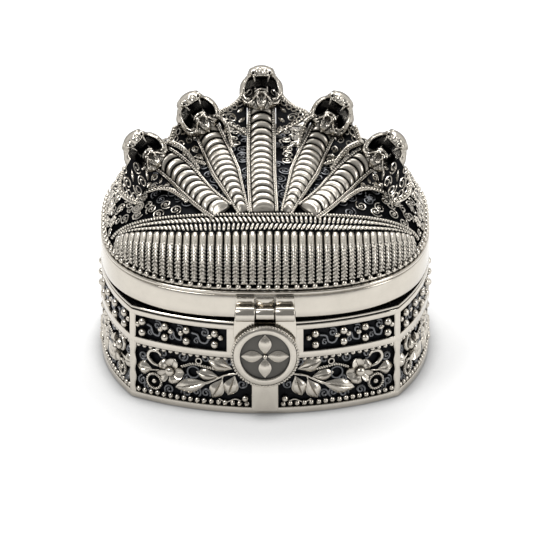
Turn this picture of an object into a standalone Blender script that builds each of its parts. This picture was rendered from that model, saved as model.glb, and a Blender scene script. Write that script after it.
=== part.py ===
"""Silver keepsake box with a hinged, domed lid and five rearing cobras.

The box stands on z = 0 with its front towards -Y. Sizes are in millimetres times MM.
Run it with: blender --background --python part.py
"""

import math

import bmesh
import bpy
from mathutils import Matrix, Vector

MM = 0.001

# Plan of the box: four bowed walls that meet at four upright corners
BODY_WIDTH = 90.0 * MM
BODY_DEPTH = 87.4 * MM
FRONT_BOW = 10.7 * MM  # from the line between two corners out to the wall's middle
SIDE_BOW = 8.7 * MM
CORNER_X = BODY_WIDTH / 2 - SIDE_BOW
CORNER_Y = BODY_DEPTH / 2 - FRONT_BOW
WALL_STEPS = 10  # straight runs in each bowed wall

# Walls of the box
FRAME_HEIGHT = 26.6 * MM
FRAME_THICKNESS = 1.6 * MM
BOTTOM_RAIL = 1.9 * MM
MIDDLE_RAIL = 2.0 * MM
TOP_RAIL = 1.6 * MM
UPPER_ROW = 6.5 * MM  # height of the openings between the middle and the top rail
MIDDLE_RAIL_LOW = FRAME_HEIGHT - TOP_RAIL - UPPER_ROW - MIDDLE_RAIL
POST_WIDTH = 1.2 * MM
KEEPER_HALF_WIDTH = 10.4 * MM  # plain stretch of the upper row behind the latch and the hinge
LINER_THICKNESS = 0.9 * MM
FLOOR_THICKNESS = 1.0 * MM
FLANGE_THICKNESS = 0.6 * MM
PANEL_THICKNESS = 0.4 * MM
GAP = 0.3 * MM  # soldered seats and running clearances
SHY = 0.1 * MM  # by which joined shapes miss each other's faces

# Relief on the panels in the openings. The branch is drawn in half an opening of the length and
# height given here, and fitted to each: along the wall from its middle, and up from its foot, in
# mm. Each leaf has two tips and a width.
BRANCH_LENGTH = 37.2 * MM
BRANCH_HEIGHT = 14.6 * MM
LEAVES = (
    ((-36.6, 7.4), (-32.6, 7.2), 3.3),
    ((-31.6, 13.1), (-28.0, 10.3), 3.0),
    ((-24.9, 4.1), (-16.0, 6.2), 3.3),
    ((-18.4, 9.3), (-13.0, 8.2), 2.3),
    ((-15.2, 12.8), (-9.1, 10.7), 2.9),
    ((-13.8, 2.2), (-11.7, 7.7), 3.0),
    ((-9.9, 3.5), (-8.3, 8.9), 2.9),
    ((-33.3, 4.4), (-28.1, 4.9), 3.6),
)
LEAF_POINTS = 6
FLOWER = (-26.8, 8.3)
FLOWER_PETALS = 5
FLOWER_RADIUS = 4.1
RELIEF_HEIGHT = 1.4 * MM
RELIEF_ROOT = 0.3 * MM  # how far a boss reaches into its panel
BEAD_RADIUS = 1.0 * MM
BEAD_PROUD = 0.5 * MM
BEAD_PITCH = 6.4 * MM
BEAD_OFFSET = 1.65 * MM
FRONT_BEADS = (0.127, 0.426, 0.661, 0.919)  # pairs beside the latch, as shares of their opening

# Lid
LID_ROUNDNESS = 2.6  # exponent of the lid's outline, where 2 is an ellipse
LID_STEPS = 36
LID_CLEARANCE = 1.4 * MM  # from the box's flange up to the lid's band
BAND_HEIGHT = 7.8 * MM
BAND_THICKNESS = 1.2 * MM
DECK_THICKNESS = 1.0 * MM
DECK_REACH = 3.6 * MM  # inset of the deck's inner edge
SEAT_HEIGHT = 3.6 * MM
SEAT_THICKNESS = 1.0 * MM
SEAT_CLEARANCE = 0.5 * MM
DOME_INSET = 1.8 * MM
DOME_RISE = 20.0 * MM
DOME_BACK_LIFT = 1.5 * MM
DOME_THICKNESS = 1.0 * MM
DOME_ROWS = 7
BEAD_WIRE = 0.55 * MM

# Raised motifs of the dome: domed flower bosses and flat scroll bosses by turns
MOTIF_PITCH = 7.5 * MM
MOTIF_RADIUS = 2.4 * MM
FLOWER_RISE = 0.95 * MM
FLOWER_CROWN = 0.4  # share of the boss's width that its flat top has
SCROLL_RISE = 0.5 * MM
SCROLL_CROWN = 0.75
MOTIF_ROOT = 0.55 * MM  # how far a motif reaches into the dome
MOTIF_SIDES = 5

# Ribbed bolster along the lid's front; its lines are given in plan, from the lid's edges
RIB_COUNT = 42
RIB_ROWS = 3
RIB_FOOT = 1.5 * MM  # above the dome's foot
RIB_LIFT = 1.6 * MM
RIB_GROOVE = 0.9 * MM
BOLSTER_END = BODY_WIDTH / 2 - 5.4 * MM
RIB_TOP_MIDDLE = 11.0 * MM - BODY_DEPTH / 2
RIB_TOP_SWEEP = 12.7 * MM
RIB_TOP_POWER = 3.1
BORDER_MIDDLE = 16.4 * MM - BODY_DEPTH / 2
BORDER_END = BODY_WIDTH / 2 - 4.4 * MM
BORDER_SWEEP = 9.3 * MM
BORDER_POWER = 2.6
BRAID_LIFT = 1.3 * MM
BRAID_MARGIN = 1.0 * MM
BRAID_STEPS = 30
BRAID_END = BODY_WIDTH / 2 - 6.2 * MM
ROPE_RADIUS = 0.6 * MM
ROPE_STEPS = 32

# Cobras: necks, hoods and heads
SCUTE_PITCH = 2.75 * MM
SCUTE_STEP = 0.35 * MM
SCUTE_ARCH = 1.4 * MM
NECK_HALF_WIDTH = 3.8 * MM
NECK_RISE = 2.5 * MM
NECK_SEAT = 0.45 * MM  # from the dome up to the underside of a neck
HOOD_THICKNESS = 0.8 * MM
WING_SEAT = 0.45 * MM  # from a neck's side to its wing
WING_RISE = 0.5 * MM  # of a wing's root above the neck's middle line
HOOD_COLUMNS = 4
FOOT_CUT_DEPTH = 8.0 * MM
HEAD_WIDTH = 12.4 * MM  # across the cheeks
HEAD_VOXEL = 0.42 * MM
HEAD_TRIANGLES = 350
GAZE_ELEVATION = math.radians(27)

# Section of a neck: share of its half width, and share of its rise
NECK_SECTION = ((-1.0, 0.0), (-1.0, 0.34), (-0.76, 0.42), (-0.42, 0.86), (0.0, 1.0))

# Head: centres and radii of the ellipsoids it is made of, across, forward and up, for a head
# whose width is that of HEAD_DRAWN
HEAD_DRAWN = 12.4
HEAD_SOLIDS = (
    ((0.0, -1.4, 1.6), (5.0, 4.2, 4.5)),
    ((0.0, 1.8, 4.3), (3.9, 3.0, 2.0)),
    ((-4.9, -0.8, -1.0), (1.3, 3.2, 4.0)),
    ((4.9, -0.8, -1.0), (1.3, 3.2, 4.0)),
    ((-3.3, 0.6, -4.0), (2.5, 2.3, 1.4)),
    ((3.3, 0.6, -4.0), (2.5, 2.3, 1.4)),
    ((0.0, 2.2, -2.6), (2.0, 2.2, 1.9)),
    ((0.0, 0.4, -4.9), (3.8, 2.8, 2.0)),
)
HEAD_MOUTH = (
    ((0.0, 3.2, 1.0), (4.1, 5.4, 1.8)),
    ((-3.3, 2.8, -0.6), (1.5, 4.2, 2.3)),
    ((3.3, 2.8, -0.6), (1.5, 4.2, 2.3)),
)

# Back hinge
KNUCKLE_RADIUS = 2.0 * MM
HINGE_PIN_RADIUS = 0.7 * MM
HINGE_HALF_WIDTH = 14.0 * MM
HINGE_KNUCKLES = 5
LEAF_THICKNESS = 0.8 * MM
HINGE_POST = 1.0 * MM  # plain wall left on each side of the back hinge
BODY_LEAF_HEIGHT = 8.0 * MM
LID_LEAF_HEIGHT = 5.0 * MM
WEB_LOW = 0.6 * MM  # from the pin's axis to the near side of a knuckle's web
WEB_HIGH = 2.9 * MM

# Front latch
LATCH_KNUCKLE_RADIUS = 2.2 * MM
LATCH_LUG_RADIUS = 1.7 * MM
LATCH_PIN_RADIUS = 0.7 * MM
LATCH_HALF_WIDTH = 8.0 * MM
LATCH_LUG_HALF_WIDTH = 2.5 * MM
LATCH_AXIS_ABOVE_BAND = 2.6 * MM  # above the band's lower edge
STRAP_THICKNESS = 1.3 * MM
HASP_THICKNESS = 0.8 * MM
HASP_SINK = 0.7 * MM  # from a knuckle's back to the plate's back
HASP_SKIRT_HALF_WIDTH = 8.7 * MM
MEDALLION_RADIUS = 9.3 * MM
MEDALLION_THICKNESS = 1.3 * MM
MEDALLION_RIM = 2.4 * MM
MEDALLION_DROP = 12.7 * MM  # from the latch axis down to the medallion's centre
TAB_WIDTH = 7.2 * MM
TAB_FOOT = 1.6 * MM
TAB_CORNER = 1.0 * MM
SHOULDER_REACH = 2.4 * MM  # of the plate beyond the tab's side, behind the medallion
SHOULDER_DROP = 3.0 * MM
PETAL_LENGTH = 6.0 * MM
PETAL_WIDTH = 3.2 * MM
PETAL_HEIGHT = 0.36 * MM
FLOWER_BEAD = 1.3 * MM
STUD_RADIUS = 1.6 * MM

# Heights and insets that follow from the sizes above
FLANGE_LOW = FRAME_HEIGHT + GAP
FLANGE_TOP = FLANGE_LOW + FLANGE_THICKNESS
BAND_LOW = FLANGE_TOP + LID_CLEARANCE
BAND_TOP = BAND_LOW + BAND_HEIGHT
DOME_FOOT = BAND_TOP + GAP
LINER_INSET = FRAME_THICKNESS + GAP
SEAT_INSET = BAND_THICKNESS + SEAT_CLEARANCE
LID_HALF_X = BODY_WIDTH / 2
LID_HALF_Y = BODY_DEPTH / 2
DOME_HALF_X = LID_HALF_X - DOME_INSET
DOME_HALF_Y = LID_HALF_Y - DOME_INSET
HINGE_Y = BODY_DEPTH / 2 + 2 * GAP + LEAF_THICKNESS + KNUCKLE_RADIUS
HINGE_Z = FLANGE_TOP + LID_CLEARANCE / 2
LATCH_Y = -(BODY_DEPTH / 2 + GAP + LATCH_KNUCKLE_RADIUS)
LATCH_Z = BAND_LOW + LATCH_AXIS_ABOVE_BAND
HASP_BACK = LATCH_Y + LATCH_KNUCKLE_RADIUS - HASP_SINK
MEDALLION_Z = LATCH_Z - MEDALLION_DROP

SILVER = (0.80, 0.78, 0.74)
DARK_SILVER = (0.035, 0.037, 0.042)

# Each cobra, for the right side; the left side mirrors it. Places are drawn in mm on a lid of the
# width, depth and rise given here, with heights above the dome's foot, and fitted to the real one.
# The neck runs through the points of its path; a point without a height lies on the dome. Each
# wing of the hood is a list of places along the neck with the wing's reach from the neck's middle
# line there; its cup is its forward lean, as a slope. The outer wing comes first.
DRAWN_WIDTH, DRAWN_DEPTH, DRAWN_RISE = 90.0, 87.4, 20.0
CENTRE_COBRA = {
    "path": (
        (-0.4, -26.2), (-0.8, -16.8), (-1.0, -5.0), (-1.0, 5.0, 22.8), (-1.0, 10.6, 27.5), (-1.0, 13.2, 33.2),
    ),
    "foot_width": 1.0,
    "lean": 0.0,
    "cups": (0.55, 0.55),
    "wings": (
        ((0.74, 4.3), (0.79, 7.4), (0.83, 11.2), (0.87, 12.6), (0.91, 11.6), (0.95, 9.2), (1.0, 6.4)),
        ((0.74, 4.3), (0.79, 6.9), (0.83, 10.0), (0.87, 11.2), (0.91, 10.3), (0.95, 8.1), (1.0, 6.1)),
    ),
    "head": (-1.0, 14.0, 34.2),
    "roll": 0.0,
    "turn": 0.0,
}
INNER_COBRA = {
    "path": (
        (6.0, -26.2), (8.2, -19.1), (10.5, -10.3), (12.9, 0.3, 20.8), (15.4, 5.2, 24.5), (17.7, 7.3, 28.8),
    ),
    "foot_width": 0.42,
    "lean": 26.0,
    "cups": (0.55, 1.5),
    "wings": (
        ((0.60, 4.3), (0.66, 6.2), (0.72, 8.8), (0.79, 10.8), (0.865, 11.5), (0.93, 10.0), (1.0, 7.5)),
        ((0.66, 4.3), (0.72, 5.4), (0.77, 6.5), (0.82, 7.4), (0.87, 7.7), (0.93, 7.3), (1.0, 6.2)),
    ),
    "head": (19.0, 7.5, 29.6),
    "roll": 28.0,
    "turn": -8.0,
}
OUTER_COBRA = {
    "path": (
        (11.8, -25.8), (15.4, -21.7), (19.0, -15.6), (22.6, -9.8, 18.8), (26.2, -6.4, 20.6), (30.6, -5.2, 22.7),
    ),
    "foot_width": 0.95,
    "lean": 34.0,
    "cups": (0.55, 1.4),
    "wings": (
        (
            (0.30, 4.5), (0.45, 4.9), (0.58, 5.9), (0.69, 8.9), (0.79, 12.0),
            (0.87, 13.8), (0.97, 14.2), (1.07, 13.2), (1.12, 9.5),
        ),
        ((0.58, 4.3), (0.66, 5.4), (0.74, 6.6), (0.82, 7.4), (0.90, 7.7), (0.98, 7.2), (1.06, 6.4)),
    ),
    "head": (33.6, -5.0, 24.0),
    "roll": 40.0,
    "turn": -12.0,
}
COBRAS = {
    "left_outer": (OUTER_COBRA, -1),
    "left_inner": (INNER_COBRA, -1),
    "centre": (CENTRE_COBRA, 1),
    "right_inner": (INNER_COBRA, 1),
    "right_outer": (OUTER_COBRA, 1),
}


# Scene, collections and materials


def clear_scene():
    for obj in list(bpy.data.objects):
        bpy.data.objects.remove(obj, do_unlink=True)


def new_collection(name):
    made = bpy.data.collections.new(name)
    bpy.context.scene.collection.children.link(made)
    return made


def new_material(name, colour, roughness, metallic):
    made = bpy.data.materials.new(name)
    made.use_nodes = True
    shader = made.node_tree.nodes["Principled BSDF"]
    shader.inputs["Base Color"].default_value = (*colour, 1.0)
    shader.inputs["Roughness"].default_value = roughness
    shader.inputs["Metallic"].default_value = metallic
    return made


def add_object(name, mesh, material=None, helper=False):
    """Links a mesh as a part of the box, or as a hidden helper such as a cutter."""
    obj = bpy.data.objects.new(name, mesh)
    (HELPERS if helper else PARTS).objects.link(obj)
    if helper:
        obj.hide_render = True
        obj.display_type = "WIRE"
    elif material:
        mesh.materials.clear()
        mesh.materials.append(material)
    return obj


def smooth(obj, angle=40):
    obj.data.shade_smooth()
    obj.data.set_sharp_from_angle(angle=math.radians(angle))
    return obj


# Mesh helpers


def mesh_of_loops(name, loops, closed_loops=True, ring=False, caps=False):
    """A mesh whose faces join each loop of points to the next."""
    work = bmesh.new()
    rows = [[work.verts.new(point) for point in loop] for loop in loops]
    pairs = list(zip(rows, rows[1:]))
    if ring:
        pairs.append((rows[-1], rows[0]))
    count = len(loops[0])
    for low, high in pairs:
        for i in range(count if closed_loops else count - 1):
            j = (i + 1) % count
            work.faces.new((low[i], low[j], high[j], high[i]))
    if caps:
        work.faces.new(rows[0])
        work.faces.new(rows[-1])
    bmesh.ops.recalc_face_normals(work, faces=work.faces)
    mesh = bpy.data.meshes.new(name)
    work.to_mesh(mesh)
    work.free()
    return mesh


def loft(name, loops, material=None, helper=False):
    """A closed solid through a row of closed sections."""
    mesh = mesh_of_loops(name, loops, caps=True)
    return add_object(name, mesh, material, helper)


def shell(name, loops, thickness, material, closed_loops=True, offset=-1.0):
    """An open surface given a wall by Solidify."""
    obj = add_object(name, mesh_of_loops(name, loops, closed_loops), material)
    wall = obj.modifiers.new("Wall", "SOLIDIFY")
    wall.thickness = thickness
    wall.offset = offset
    wall.use_even_offset = True
    return smooth(obj)


def primitive(name, build, matrix=None, material=None, helper=False):
    """An object made by one of bmesh's primitive operators."""
    work = bmesh.new()
    build(work)
    if matrix:
        bmesh.ops.transform(work, matrix=matrix, verts=work.verts)
    bmesh.ops.recalc_face_normals(work, faces=work.faces)
    mesh = bpy.data.meshes.new(name)
    work.to_mesh(mesh)
    work.free()
    return add_object(name, mesh, material, helper)


def cylinder_x(name, radius, low_x, high_x, y, z, segments=12, **options):
    """A cylinder that lies along X."""
    length = high_x - low_x
    place = Matrix.Translation(((low_x + high_x) / 2, y, z))
    place = place @ Matrix.Rotation(math.pi / 2, 4, "Y")

    def build(work):
        bmesh.ops.create_cone(
            work, cap_ends=True, segments=segments, radius1=radius, radius2=radius, depth=length
        )

    return primitive(name, build, place, **options)


def box(name, low, high, **options):
    centre = [(a + b) / 2 for a, b in zip(low, high)]
    size = [b - a for a, b in zip(low, high)]
    place = Matrix.Translation(centre) @ Matrix.Diagonal((*size, 1.0))
    return primitive(name, lambda work: bmesh.ops.create_cube(work, size=1.0), place, **options)


def ellipsoid(name, place, radii, segments=12, rings=8, **options):
    """An ellipsoid with its poles on its own Z axis."""
    place = place @ Matrix.Diagonal((*radii, 1.0))

    def build(work):
        bmesh.ops.create_uvsphere(work, u_segments=segments, v_segments=rings, radius=1.0)

    return primitive(name, build, place, **options)


def boolean(obj, operation, other):
    """Adds or cuts with another object; the modifier stays on the object."""
    joint = obj.modifiers.new(operation.title(), "BOOLEAN")
    joint.operation = operation
    joint.solver = "EXACT"
    if isinstance(other, bpy.types.Collection):
        joint.operand_type = "COLLECTION"
        joint.collection = other
    else:
        joint.object = other
    return obj


def union_all(obj, others):
    for other in others:
        boolean(obj, "UNION", other)
    return obj


def frozen_mesh(obj, name):
    """The object's mesh with its modifiers applied; the object is removed."""
    bpy.context.view_layer.update()
    graph = bpy.context.evaluated_depsgraph_get()
    mesh = bpy.data.meshes.new_from_object(obj.evaluated_get(graph))
    mesh.name = name
    bpy.data.objects.remove(obj, do_unlink=True)
    return mesh


def on_axis(name, place, build):
    """An empty on a joint's axis, and on it everything that turns about it."""
    before = set(bpy.data.objects.keys())
    build()
    axis = bpy.data.objects.new(name, None)
    PARTS.objects.link(axis)
    axis.location = place
    axis.empty_display_size = KNUCKLE_RADIUS
    bpy.context.view_layer.update()
    for obj in list(bpy.data.objects):
        if obj.name not in before and obj != axis and obj.parent is None:
            obj.parent = axis
            obj.matrix_parent_inverse = axis.matrix_world.inverted()
    return axis


# Plan outlines


def wall_arc(side):
    """Centre, radius and middle angle of one bowed wall."""
    sign = -1 if side in ("front", "left") else 1
    if side in ("front", "back"):
        half, chord, bow = BODY_DEPTH / 2, CORNER_X, FRONT_BOW
    else:
        half, chord, bow = BODY_WIDTH / 2, CORNER_Y, SIDE_BOW
    radius = (chord**2 + bow**2) / (2 * bow)
    reach = sign * (half - radius)
    if side in ("front", "back"):
        return Vector((0.0, reach)), radius, sign * math.pi / 2
    return Vector((reach, 0.0)), radius, 0.0 if sign > 0 else math.pi


def wall_corner(inset):
    """Where the front and right walls meet at this inset, as a point with both signs positive."""
    front, front_radius, _ = wall_arc("back")
    right, right_radius, _ = wall_arc("right")
    a, b = front_radius - inset, right_radius - inset
    between = right - front
    reach = between.length
    along = (a * a - b * b + reach * reach) / (2 * reach)
    across = math.sqrt(a * a - along * along)
    unit = between / reach
    normal = Vector((-unit.y, unit.x))
    found = [front + unit * along + normal * across * s for s in (1, -1)]
    return max(found, key=lambda p: p.x + p.y)


def half_angle(side, inset):
    """Angle from a wall's middle to its corner, at this inset."""
    corner = wall_corner(inset)
    if side in ("front", "back"):
        return math.atan2(corner.x, corner.y - wall_arc("back")[0].y)
    return math.atan2(corner.y, corner.x - wall_arc("right")[0].x)


def wall_point(side, angle, inset):
    """A plan point on a wall; the angle is measured from the wall's middle, anticlockwise."""
    centre, radius, middle = wall_arc(side)
    turn = middle + angle
    return centre + Vector((math.cos(turn), math.sin(turn))) * (radius - inset)


def body_outline(inset, z, steps=WALL_STEPS):
    """The closed outline of the box at one height, anticlockwise from the front left corner."""
    points = []
    for side in ("front", "right", "back", "left"):
        reach = half_angle(side, inset)
        for i in range(steps):
            angle = -reach + 2 * reach * i / steps
            points.append((*wall_point(side, angle, inset), z))
    return points


def lid_point(half_x, half_y, angle):
    """A plan point on the lid's rounded outline."""
    power = 2 / LID_ROUNDNESS
    c, s = math.cos(angle), math.sin(angle)
    return (
        math.copysign(abs(c) ** power, c) * half_x,
        math.copysign(abs(s) ** power, s) * half_y,
    )


def lid_outline(inset, z, steps=LID_STEPS):
    half_x, half_y = LID_HALF_X - inset, LID_HALF_Y - inset
    return [(*lid_point(half_x, half_y, 2 * math.pi * i / steps), z) for i in range(steps)]


def wall_block(name, side, low, high, z_low, z_high, outer, inner, steps=4, **options):
    """A block that follows a wall: angles from low to high, insets from outer to inner."""
    loops = []
    for i in range(steps + 1):
        angle = low + (high - low) * i / steps
        near, far = wall_point(side, angle, outer), wall_point(side, angle, inner)
        loops.append([(*near, z_low), (*far, z_low), (*far, z_high), (*near, z_high)])
    return loft(name, loops, **options)


# Box body


def window_spans(side, row):
    """Angle spans of the openings of one wall's row, between its posts."""
    _, radius, _ = wall_arc(side)
    reach = half_angle(side, 0.0) - POST_WIDTH / radius
    if row == "upper" and side in ("front", "back"):
        inner = (KEEPER_HALF_WIDTH if side == "front" else HINGE_HALF_WIDTH + HINGE_POST) / radius
        return [(-reach, -inner), (inner, reach)]
    return [(-reach, reach)]


def window_heights(row):
    if row == "upper":
        return MIDDLE_RAIL_LOW + MIDDLE_RAIL, FRAME_HEIGHT - TOP_RAIL
    return BOTTOM_RAIL, MIDDLE_RAIL_LOW


def make_side_frame(material):
    """The pierced wall: rails and corner posts left between its openings."""
    outline = [body_outline(0.0, z) for z in (0.0, FRAME_HEIGHT)]
    frame = shell("side_frame", outline, FRAME_THICKNESS, material)
    for side in ("front", "right", "back", "left"):
        for row in ("lower", "upper"):
            low, high = window_heights(row)
            for start, end in window_spans(side, row):
                cutter = wall_block(
                    "window_cutter", side, start, end, low, high,
                    -FRAME_THICKNESS, 2 * FRAME_THICKNESS, steps=3, helper=True,
                )
                boolean(frame, "DIFFERENCE", cutter)
    return frame


def make_floor(material):
    outline = body_outline(LINER_INSET, 0.0)
    top = body_outline(LINER_INSET, FLOOR_THICKNESS)
    return loft("floor_plate", [outline, top], material)


def make_liner(material):
    """The plain inner wall behind the pierced frame."""
    low = FLOOR_THICKNESS + GAP
    loops = [body_outline(LINER_INSET, z) for z in (low, FRAME_HEIGHT)]
    return shell("wall_liner", loops, LINER_THICKNESS, material)


def rounded_at(points, inset, z):
    """Points of the lid's outline in the same directions from the middle as the given ones."""
    half_x, half_y = LID_HALF_X - inset, LID_HALF_Y - inset
    made = []
    for x, y, _ in points:
        size = (abs(x / half_x) ** LID_ROUNDNESS + abs(y / half_y) ** LID_ROUNDNESS) ** (1 / LID_ROUNDNESS)
        made.append((x / size, y / size, z))
    return made


def make_flange(material):
    """The flat plate that closes the walls' top edge round the box's mouth."""
    outer = body_outline(0.0, FLANGE_TOP)
    inner = rounded_at(outer, SEAT_INSET + SEAT_THICKNESS, FLANGE_TOP)
    return shell("top_flange", [outer, inner], FLANGE_THICKNESS, material)


def make_seat_ring(material):
    """The upright ring that the lid closes over."""
    low = FLANGE_TOP + GAP
    loops = [lid_outline(SEAT_INSET, z) for z in (low, low + SEAT_HEIGHT)]
    return shell("lid_seat_ring", loops, SEAT_THICKNESS, material)


def panel_backing(name, side, start, end, row, material):
    """The sheet behind one opening, clear of the rails and posts."""
    _, radius, _ = wall_arc(side)
    low, high = window_heights(row)
    side_gap = GAP / radius
    outer = FRAME_THICKNESS - PANEL_THICKNESS
    steps = max(4, round(WALL_STEPS * (end - start) / (2 * half_angle(side, 0.0))))
    return wall_block(
        name, side, start + side_gap, end - side_gap, low + GAP, high - GAP,
        outer, FRAME_THICKNESS, steps=steps, material=material,
    )


def wall_frame(side, angle, inset, z):
    """Matrix at a place on a wall: X along the wall, Y up, Z out of the wall."""
    _, _, middle = wall_arc(side)
    turn = middle + angle
    out = Vector((math.cos(turn), math.sin(turn), 0.0))
    along = Vector((-out.y, out.x, 0.0))
    place = Matrix((along, (0.0, 0.0, 1.0), out)).transposed().to_4x4()
    place.translation = (*wall_point(side, angle, inset), z)
    return place


def bead_angles(side, start, end):
    """Places of the bead pairs of one upper opening."""
    _, radius, _ = wall_arc(side)
    if side == "front":
        inner, outer = (start, end) if start > 0 else (end, start)
        return [inner + (outer - inner) * share for share in FRONT_BEADS]
    pairs = round((end - start) * radius / BEAD_PITCH)
    return [start + (end - start) * (i + 0.5) / pairs for i in range(pairs)]


def build_bead(work):
    bmesh.ops.create_icosphere(work, subdivisions=1, radius=BEAD_RADIUS)


def make_bead_panel(name, side, start, end, material):
    """An upper row panel: pairs of round beads, one above the other."""
    panel = panel_backing(name, side, start, end, "upper", material)
    low, high = window_heights("upper")
    middle = (low + high) / 2
    beads = []
    for angle in bead_angles(side, start, end):
        for offset in (-BEAD_OFFSET, BEAD_OFFSET):
            place = wall_frame(side, angle, BEAD_RADIUS - BEAD_PROUD, middle + offset)
            beads.append(primitive(name + "_bead", build_bead, place, helper=True))
    return union_all(panel, beads)


def boss(name, place, length, width, height, root=RELIEF_ROOT, points=LEAF_POINTS, notch=1.0, crown=0.0):
    """A low pyramid on a surface: a leaf, or a flower where a notch parts its petals."""

    def build(work):
        bmesh.ops.create_cone(
            work, cap_ends=True, segments=points, radius1=1.0, radius2=crown, depth=1.0
        )
        foot = [vert for vert in work.verts if vert.co.z < 0]
        for i, vert in enumerate(sorted(foot, key=lambda v: math.atan2(v.co.x, v.co.y))):
            if i % 2:
                vert.co.xy *= notch
        for vert in work.verts:
            rise = height if vert.co.z > 0 else -root
            vert.co = (vert.co.y * length / 2, vert.co.x * width / 2, rise)

    return primitive(name, build, place, helper=True)


def make_vine_panel(side, material):
    """A lower row panel: a leafy branch from the middle out to a flower at each end."""
    name = "vine_panel_" + side
    start, end = window_spans(side, "lower")[0]
    panel = panel_backing(name, side, start, end, "lower", material)
    _, radius, _ = wall_arc(side)
    low, high = window_heights("lower")
    along = MM * end * radius / BRANCH_LENGTH
    up = MM * (high - low) / BRANCH_HEIGHT
    inset = FRAME_THICKNESS - PANEL_THICKNESS
    pieces = []
    for way in (-1, 1):

        def place_at(x, z):
            return wall_frame(side, -way * x * along / radius, inset, low + z * up)

        pieces.append(boss(
            name + "_flower", place_at(*FLOWER), 2 * FLOWER_RADIUS * along, 2 * FLOWER_RADIUS * up,
            RELIEF_HEIGHT, points=2 * FLOWER_PETALS, notch=0.6, crown=0.25,
        ))
        for tip, root, width in LEAVES:
            run = (root[0] - tip[0]) * -way * along
            climb = (root[1] - tip[1]) * up
            middle = [(a + b) / 2 for a, b in zip(tip, root)]
            place = place_at(*middle) @ Matrix.Rotation(math.atan2(climb, run), 4, "Z")
            pieces.append(boss(name + "_leaf", place, math.hypot(run, climb), width * up, RELIEF_HEIGHT))
    return union_all(panel, pieces)


def make_body(silver, dark):
    make_floor(silver)
    make_liner(dark)
    make_side_frame(silver)
    make_flange(silver)
    make_seat_ring(dark)
    for side in ("front", "right", "back", "left"):
        make_vine_panel(side, silver)
        spans = window_spans(side, "upper")
        for i, (start, end) in enumerate(spans):
            suffix = "" if len(spans) == 1 else ("_a", "_b")[i]
            make_bead_panel("bead_panel_" + side + suffix, side, start, end, silver)


# Lid


def dome_radius(x, y):
    """Share of the way from the dome's middle to its foot, in plan."""
    size = abs(x / DOME_HALF_X) ** LID_ROUNDNESS + abs(y / DOME_HALF_Y) ** LID_ROUNDNESS
    return size ** (1 / LID_ROUNDNESS)


def dome_height(x, y):
    """Height of the dome's outer face over a plan point."""
    share = min(1.0, dome_radius(x, y))
    rise = DOME_RISE + DOME_BACK_LIFT * y / DOME_HALF_Y
    return DOME_FOOT + rise * math.sqrt(1 - share * share)


def dome_normal(x, y):
    """The way straight out of the dome over a plan point."""
    share = min(0.9999, dome_radius(x, y))
    rise = DOME_RISE + DOME_BACK_LIFT * y / DOME_HALF_Y
    height = rise * math.sqrt(1 - share * share)
    power = LID_ROUNDNESS - 1
    scale = share ** (1 - power)
    grad_x = scale * abs(x / DOME_HALF_X) ** power / DOME_HALF_X
    grad_y = scale * abs(y / DOME_HALF_Y) ** power / DOME_HALF_Y
    lift = (height / rise) ** 2 / rise * DOME_BACK_LIFT / DOME_HALF_Y
    return Vector(
        (math.copysign(grad_x, x), math.copysign(grad_y, y) - lift, height / rise**2)
    ).normalized()


def on_dome(x, y, lift):
    """A point this far off the dome's outer face."""
    return Vector((x, y, dome_height(x, y))) + dome_normal(x, y) * lift


def motif_places():
    """Plan places of the dome's motifs: rings at even steps from its foot up to its middle."""
    places = []
    lean, step = math.pi / 2, 0.7 * MOTIF_PITCH
    while True:
        lean -= step / math.hypot(DOME_HALF_X * math.cos(lean), DOME_RISE * math.sin(lean))
        step = MOTIF_PITCH
        if lean < 0.1:
            return places
        ring = []
        for i in range(4 * LID_STEPS + 1):
            turn = 2 * math.pi * i / (4 * LID_STEPS)
            x, y = math.cos(turn), math.sin(turn)
            size = math.sin(lean) / dome_radius(x, y)
            ring.append((x * size, y * size))
        run = [0.0]
        for a, b in zip(ring, ring[1:]):
            run.append(run[-1] + math.dist(a, b))
        count = max(4, round(run[-1] / MOTIF_PITCH))
        k = 0
        for i in range(count):
            want = run[-1] * (i + 0.5) / count
            while run[k + 1] < want:
                k += 1
            places.append(ring[k])


def near_cobra(place, cobras):
    """Whether a motif there would meet a neck or a hood that lies on the dome."""
    for spot, reach in cobras:
        if math.dist(place, spot) < reach + MOTIF_RADIUS:
            return True
    return False


def cobra_spots(necks):
    """Plan places of the necks and of the low parts of the hoods, each with its reach."""
    spots = []
    for neck in necks.values():
        for i in range(25):
            share = i / 24
            spots.append((neck.at(share).xy, neck.half_width(min(share, 0.9)) + GAP))
        for way, cup, outline in neck.wings:
            for row in wing_rows(neck, way, cup, outline):
                for point in row:
                    if point.z < dome_height(point.x, point.y) + 2 * HOOD_THICKNESS + FLOWER_RISE:
                        spots.append((point.xy, MM))
    return spots


def make_motifs(necks):
    """Solids that the dome is joined with: flowers and scroll bosses by turns."""
    spots = cobra_spots(necks)
    made = []
    for i, (x, y) in enumerate(motif_places()):
        in_front = y < border_y(min(BORDER_END, abs(x))) + MOTIF_RADIUS + 2 * ROPE_RADIUS
        if in_front and abs(x) < BORDER_END + MOTIF_RADIUS or near_cobra((x, y), spots):
            continue
        out = dome_normal(x, y)
        across = Vector((-y, x, 0.0)).normalized()
        across = (across - out * across.dot(out)).normalized()
        place = Matrix((across, out.cross(across), out)).transposed().to_4x4()
        place.translation = on_dome(x, y, 0.0)
        rise, crown = (FLOWER_RISE, FLOWER_CROWN) if i % 2 else (SCROLL_RISE, SCROLL_CROWN)
        made.append(boss(
            "dome_motif", place, 2 * MOTIF_RADIUS, 2 * MOTIF_RADIUS, rise, root=MOTIF_ROOT,
            points=MOTIF_SIDES, crown=crown,
        ))
    return made


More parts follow.
